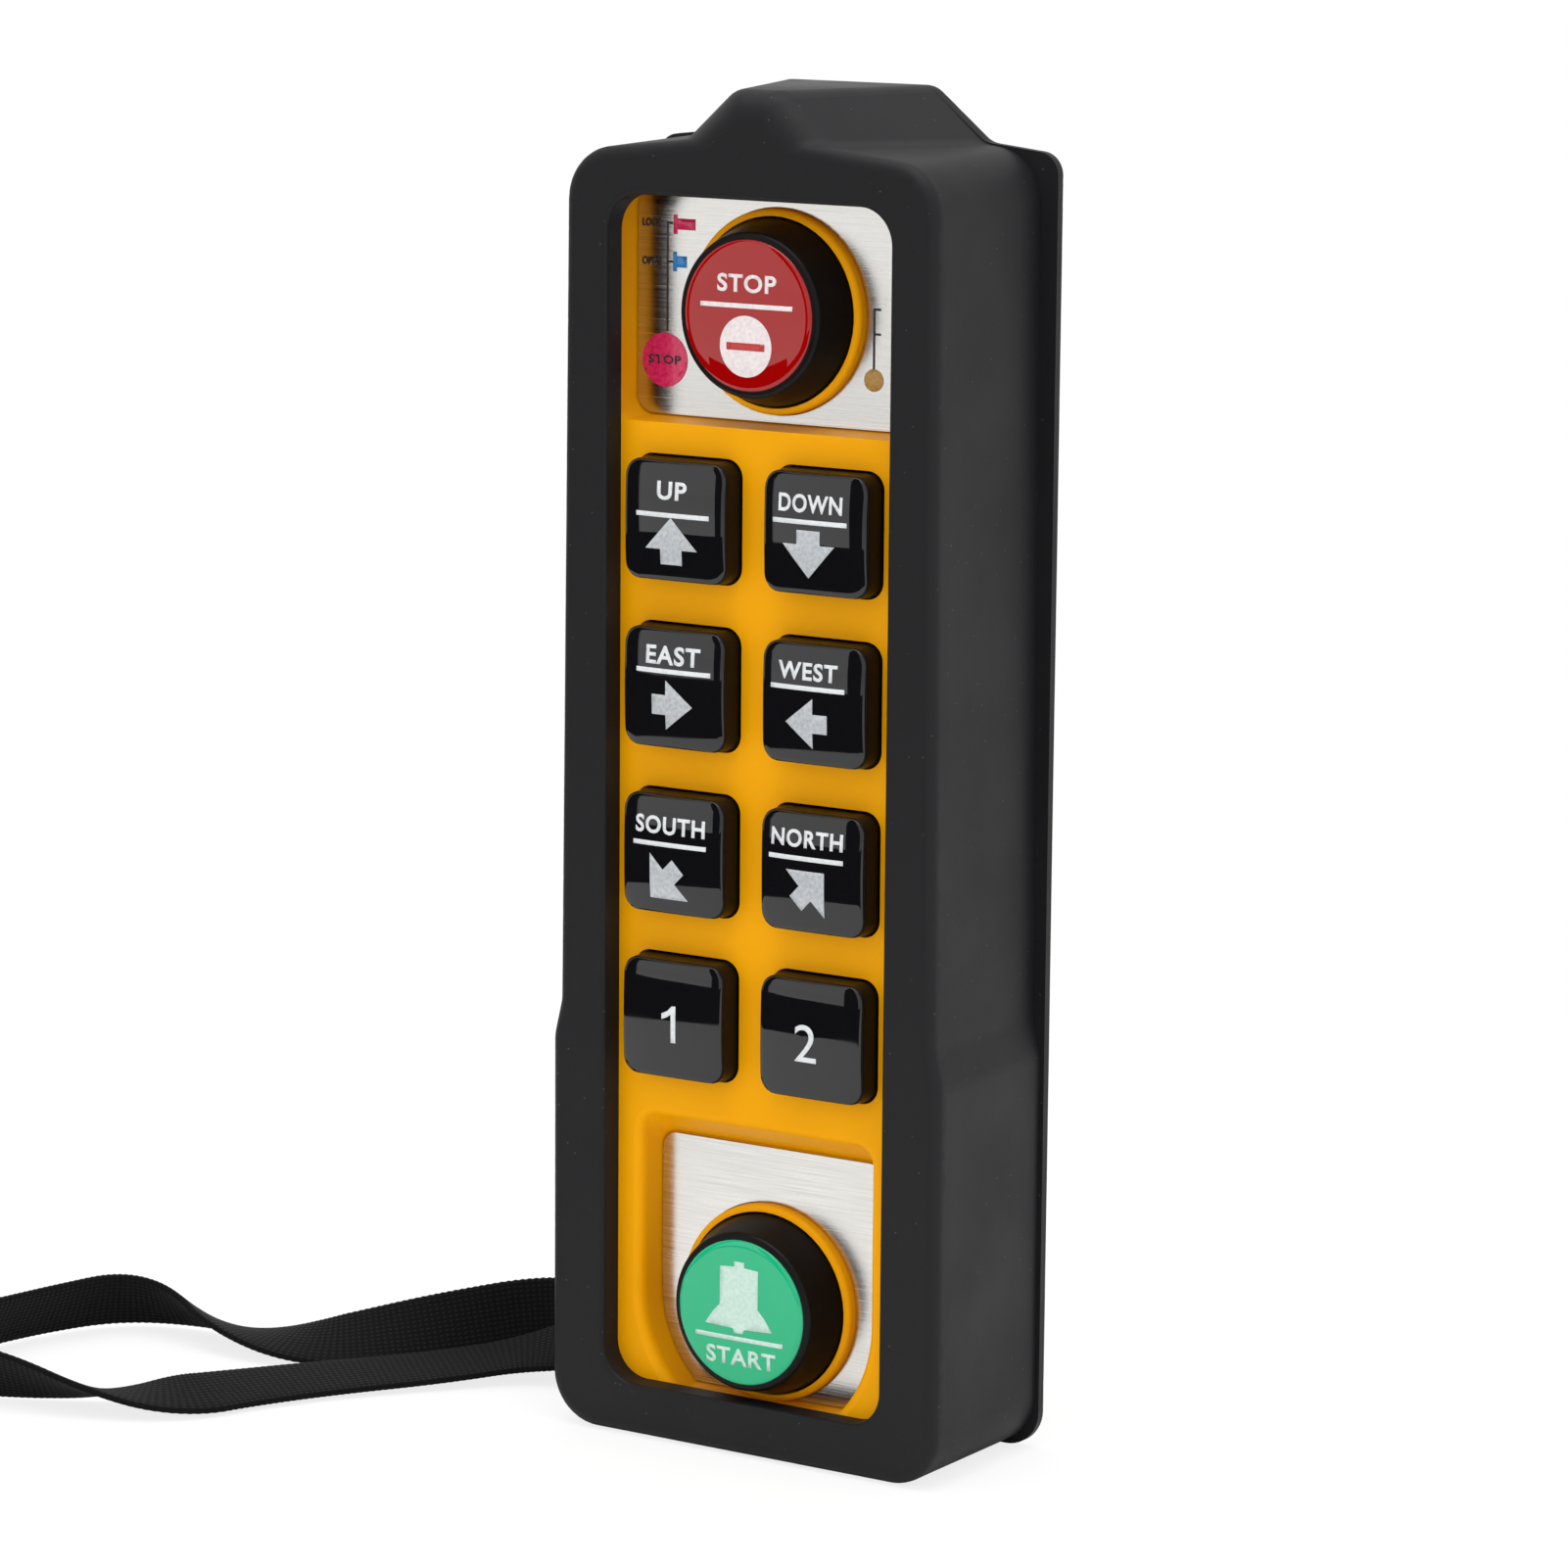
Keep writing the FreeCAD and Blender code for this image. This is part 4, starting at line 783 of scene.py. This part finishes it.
# %% The strap's line
STRAP_WIDTH, STRAP_THICKNESS = 10.6 * MM, 1.2 * MM
SPLINE_STEPS, SPLINE_ORDER = 48, 3
strap_route = [  # x, y and height of the middle of the band in mm, and its lean from upright in degrees
    (-27.7, 8.5, 10.4, 0), (-27.7, 11.0, 10.4, 0), (-34.5, 11.1, 10.2, 0),
    (-41.5, 11.2, 9.7, 4), (-51.2, 14.5, 8.0, 7), (-59.2, 13, 7.0, 11), (-66.2, 5, 5.8, 22),
    (-75.2, -4, 4.3, 48), (-84.7, -10.5, 2.9, 66), (-99.2, -11, 2.6, 104), (-112.2, -8.5, 4.6, 138),
    (-122.2, -12.5, 5.4, 152), (-127.2, -24, 5.0, 148), (-129.7, -38, 5.0, 148), (-129.2, -52, 5.4, 160),
    (-120.7, -60, 5.4, 200), (-108.2, -56.5, 4.8, 214), (-95.2, -51.3, 2.6, 250), (-83.2, -45, 2.6, 290),
    (-79.2, -34, 2.1, 284), (-72.2, -21.5, 1.9, 281), (-62.2, -9, 2.1, 279), (-52.7, 2.5, 3.2, 279),
    (-41.5, 5.9, 6.9, 318), (-34.5, 5.9, 10.2, 360), (-27.7, 6.0, 10.4, 360), (-27.7, 8.5, 10.4, 360)]


def smooth_line(points, name):
    curve = bpy.data.curves.new(name, "CURVE")
    curve.dimensions = "3D"
    curve.resolution_u = SPLINE_STEPS
    spline = curve.splines.new("NURBS")
    spline.points.add(len(points) - 1)
    for point, place in zip(spline.points, points):
        point.co = (*place, 1)
    spline.order_u = SPLINE_ORDER
    spline.use_endpoint_u = True
    mesh = mesh_from_curve(curve)
    line = [vertex.co.copy() for vertex in mesh.vertices]
    bpy.data.meshes.remove(mesh)
    return line


strap_line = smooth_line([Vector(place) * MM for *place, _ in strap_route], "strap_line")
lean_line = smooth_line([(lean, 0, 0) for *_, lean in strap_route], "strap_lean")
strap_lean = [math.radians(point.x) for point in lean_line]
strap_steps = [(b - a).length for a, b in zip(strap_line, strap_line[1:])]
print("strap:", len(strap_line), "points,", round(sum(strap_steps) / MM, 1), "mm")

# %% [markdown]
# ### Frames along the band
#
# A band has a broad side, so each point of its line needs a frame: where the width points, where the
# thickness points, and where the line goes. A curve's bevel would choose these by itself. Here the lean sets
# them, and a small wave in the width gives the scalloped edge that ribs leave in webbing.

# %% Frames along the band
SCALLOP_PITCH, SCALLOP_DEPTH = 1.05 * MM, 0.012
strap_reach = [0.0, *accumulate(strap_steps)]
strap_frames = []
for i, (place, lean, along) in enumerate(zip(strap_line, strap_lean, strap_reach)):
    ahead = strap_line[min(i + 1, len(strap_line) - 1)]
    behind = strap_line[max(i - 1, 0)]
    tangent = (ahead - behind).normalized()
    side = tangent.cross(Vector((0, 0, 1))).normalized()
    upright = side.cross(tangent)
    across = upright * math.cos(lean) + side * math.sin(lean)
    turned = Matrix((across, tangent.cross(across), tangent)).transposed().to_4x4()
    wide = 1 + SCALLOP_DEPTH * math.cos(2 * math.pi * along / SCALLOP_PITCH)
    strap_frames.append(Matrix.Translation(place) @ turned @ Matrix.Diagonal((wide, 1, 1, 1)))
print("frames along the band:", len(strap_frames))

# %% [markdown]
# ### The woven band
#
# A circle is squared off into the band's section and moved into the first frame. Then its edges are extruded
# from frame to frame, and each corner notes how far across and along the band it lies, for the weave.

# %% The woven band
SECTION_CORNERS, SQUARENESS = 20, 0.35
bm = bmesh.new()
ring = bmesh.ops.create_circle(bm, segments=SECTION_CORNERS, radius=1)["verts"]
for vertex in ring:
    x, y = vertex.co.x, vertex.co.y
    vertex.co.x = math.copysign(abs(x) ** SQUARENESS, x) * STRAP_WIDTH / 2
    vertex.co.y = math.copysign(abs(y) ** SQUARENESS, y) * STRAP_THICKNESS / 2
woven = bm.loops.layers.uv.new("woven")
edges = list(bm.edges)
bmesh.ops.contextual_create(bm, geom=edges)
bmesh.ops.transform(bm, matrix=strap_frames[0], verts=ring)
for before, after in zip(strap_frames, strap_frames[1:]):
    made = bmesh.ops.extrude_edge_only(bm, edges=edges)
    edges = open_edges_in(made)
    bmesh.ops.transform(bm, matrix=after @ before.inverted(), verts=verts_in(made))
bmesh.ops.contextual_create(bm, geom=edges)
bmesh.ops.recalc_face_normals(bm, faces=bm.faces)
bm.verts.index_update()
for face in bm.faces:
    for loop in face.loops:
        row = loop.vert.index // len(ring)
        across = (strap_frames[row].inverted() @ loop.vert.co).x
        loop[woven].uv = (across / MM, strap_reach[row] / MM)
wrist_strap = make_piece("wrist_strap_band", bm, "handset", "strap_webbing", strap_webbing)
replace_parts(wrist_strap, "wrist_strap")
print("band:", len(wrist_strap.data.polygons), "faces")

# %% [markdown]
# ## Slotted cover screws
#
# Two screws hold the battery cover, and their raised heads have a slot, so that a turn can be seen. A slot
# could be cut with a boolean, but a disc cut along two lines and emptied between them gives clean edges to
# round.

# %% Slotted heads on the cover screws
SLOT_HALF, HEAD_RISE, HEAD_SIDES, HEAD_EDGE, EDGE_STEPS = 0.5, 0.7, 64, 0.22, 3


def slotted_head(radius):
    bm = bmesh.new()
    bmesh.ops.create_circle(bm, cap_ends=True, segments=HEAD_SIDES, radius=radius)
    for x in (-SLOT_HALF, SLOT_HALF):
        cut_across(bm, (x, 0, 0), (1, 0, 0))
    slot = [f for f in bm.faces if abs(f.calc_center_median().x) < SLOT_HALF]
    bmesh.ops.delete(bm, geom=slot, context="FACES")
    top = raise_faces(bm, HEAD_RISE)
    edges = [e for e in bm.edges if all(v in top for v in e.verts)]
    bmesh.ops.bevel(bm, geom=edges, offset=HEAD_EDGE, segments=EDGE_STEPS, profile=0.5, affect="EDGES",
                    material=-1)
    return bm


cover_screws = ("cover_screw_upper", "cover_screw_lower")
for name in cover_screws:
    low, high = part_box(name)
    bm = slotted_head((high[0] - low[0]) / 2 / MM)
    bm.transform(Matrix.Translation(((low[0] + high[0]) / 2, high[1], (low[2] + high[2]) / 2))
                 @ Matrix.Rotation(-math.pi / 2, 4, "X") @ Matrix.Scale(MM, 4))
    make_piece(f"{name}_head", bm, name, "steel", finishes["steel"])
print("slotted heads:", cover_screws)

# %% [markdown]
# ## Domes and boots that give way
#
# Under each key is a silicone dome, and round each big button a pleated boot. Real silicone buckles when the
# key goes down. Here each soft piece that a joint lists gets its own copy of its mesh.

# %% Soft pieces under the keys and buttons
for joint in frame["joints"]:
    for soft in joint.get("deforming_nodes", []):
        low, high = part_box(soft["node"])
        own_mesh(nodes[soft["node"]])
        print(soft["node"], "gives way with", joint["name"])

# %% [markdown]
# ## Studio
#
# The photograph has a white ground and soft light from all round. A ring of lamps could give that, but a
# white world is even and has no edges. It is white where the camera and mirror-like surfaces see it, and it
# lights matt surfaces at a plain level, so that a colour renders about as it is written.

# %% The white world
LIGHT_LEVEL, SEEN_LEVEL = 1.1, 1.0
world = bpy.data.worlds.new("white_studio")
bpy.context.scene.world = world
world.use_nodes = True
rays = add_node(world, "ShaderNodeLightPath", {}).outputs
mirrored = add_node(world, "ShaderNodeMath", {
    0: rays["Is Glossy Ray"], 1: rays["Is Transmission Ray"]}, operation="MAXIMUM").outputs[0]
shown = add_node(world, "ShaderNodeMath", {
    0: rays["Is Camera Ray"], 1: mirrored}, operation="MAXIMUM").outputs[0]
background = world.node_tree.nodes["Background"]
background.inputs["Color"].default_value = (1, 1, 1, 1)
world.node_tree.links.new(spread(world, shown, FULL_REACH, LIGHT_LEVEL, SEEN_LEVEL),
                          background.inputs["Strength"])
print("world:", world.name)

# %% [markdown]
# ### Floor
#
# The floor is white paint that takes the handset's shadow. Paint alone would look grey to the camera, so the
# camera also sees it glow, less near the handset, where the shadow must stay, and fully white further out.

# %% The floor
FLOOR_HALF, FLOOR_DROP = 4, 0.2 * MM
FLOOR_PAINT, GLOW_NEAR, GLOW_FAR = (0.85, 0.85, 0.85, 1), 0.8, 1.0
FADE_REACH = (0.12, 0.45)  # metres from the origin, which lies under the handset
floor_white = bpy.data.materials.new("floor_white")
floor_white.use_nodes = True
paint = add_node(floor_white, "ShaderNodeBsdfDiffuse", {"Color": FLOOR_PAINT}).outputs[0]
glow = add_node(floor_white, "ShaderNodeEmission", {}).outputs[0]
to_camera = add_node(floor_white, "ShaderNodeLightPath", {}).outputs["Is Camera Ray"]
around = add_node(floor_white, "ShaderNodeTexCoord", {}).outputs["Object"]
away = add_node(floor_white, "ShaderNodeVectorMath", {0: around}, operation="LENGTH").outputs["Value"]
fade = spread(floor_white, away, FADE_REACH, GLOW_NEAR, GLOW_FAR, interpolation_type="SMOOTHSTEP")
share = add_node(floor_white, "ShaderNodeMath", {0: to_camera, 1: fade}, operation="MULTIPLY").outputs[0]
blend = add_node(floor_white, "ShaderNodeMixShader", {0: share, 1: paint, 2: glow}).outputs[0]
floor_white.node_tree.links.new(blend, floor_white.node_tree.nodes["Material Output"].inputs["Surface"])

bm = bmesh.new()
bmesh.ops.create_grid(bm, x_segments=1, y_segments=1, size=FLOOR_HALF)
bmesh.ops.translate(bm, vec=(0, 0, -FLOOR_DROP), verts=bm.verts)
floor = mesh_object("floor", bm, floor_white)
print("floor:", 2 * FLOOR_HALF, "m wide")

# %% [markdown]
# ### Black cards
#
# The resin domes mirror what stands in front of them: the soft box above, the pale table below, and darkness
# between and beside them. A painted highlight would stay put when the view turns, so black cards lie and
# stand round the front instead, as a photographer sets them. Only reflections see the cards.

# %% Black cards
CARD_STEPS, STAND_RADIUS, STAND_TOP = 24, 0.76, 0.9
TABLE_NEAR, TABLE_FAR = (0.32, 0.0005), (0.745, 0.027)
STAND_FOOT, STAND_HEAD = (STAND_RADIUS, 0), (STAND_RADIUS, STAND_TOP)
cards = {  # first and last azimuth in degrees, then radius and height of an edge's two ends in metres
    "table_card": (-100, 26, TABLE_NEAR, TABLE_FAR),
    "left_card": (-62, -44.6, STAND_FOOT, STAND_HEAD),
    "right_card": (-20.4, -6, STAND_FOOT, STAND_HEAD),
}
card_black = new_finish("card_black", "#020202", roughness=0.9, Specular_IOR_Level=0)


def swept_card(name, first, last, near, far):
    """An edge, swept round the handset from one azimuth to another."""
    bm = bmesh.new()
    start = Matrix.Rotation(math.radians(first), 3, "Z")
    ends = [bm.verts.new(start @ Vector((0, -radius, height))) for radius, height in (near, far)]
    edge = bm.edges.new(ends)
    bmesh.ops.spin(bm, geom=ends + [edge], cent=(0, 0, 0), axis=(0, 0, 1), angle=math.radians(last - first),
                   steps=CARD_STEPS)
    card = mesh_object(name, bm, card_black)
    card.visible_camera = card.visible_diffuse = card.visible_shadow = card.visible_transmission = False


for name, settings in cards.items():
    swept_card(name, *settings)
print("cards:", list(cards))

# %% [markdown]
# ### Lamps
#
# A large soft box stands at the front left, where the domes mirror it. A second hangs above and gives the
# shadow under the handset, and a third lifts the right side. All three are weak, because the white world
# already gives most of the light.

# %% Lamps
lamps = {  # place, what it points at, width and height in metres, and power in watts
    "front_left_box": ((-0.397, -0.636, 0.31), (0, 0, 0.31), 0.32, 0.58, 0.22),
    "top_box": ((0.1, -0.1, 1.1), (0, 0, 0.1), 0.8, 0.8, 7),
    "right_box": ((1.0, -0.1, 0.5), (0, 0, 0.1), 0.5, 0.8, 0.3),
}


def soft_box(name, place, aim, width, height, power):
    lamp = bpy.data.lights.new(name, "AREA")
    lamp.shape = "RECTANGLE"
    lamp.size, lamp.size_y = width, height
    lamp.energy = power
    holder = bpy.data.objects.new(name, lamp)
    bpy.context.scene.collection.objects.link(holder)
    holder.location = place
    holder.rotation_euler = (Vector(aim) - Vector(place)).to_track_quat("-Z", "Y").to_euler()


for name, settings in lamps.items():
    soft_box(name, *settings)
bpy.context.scene.view_settings.view_transform = "Standard"
print("lamps:", list(lamps))
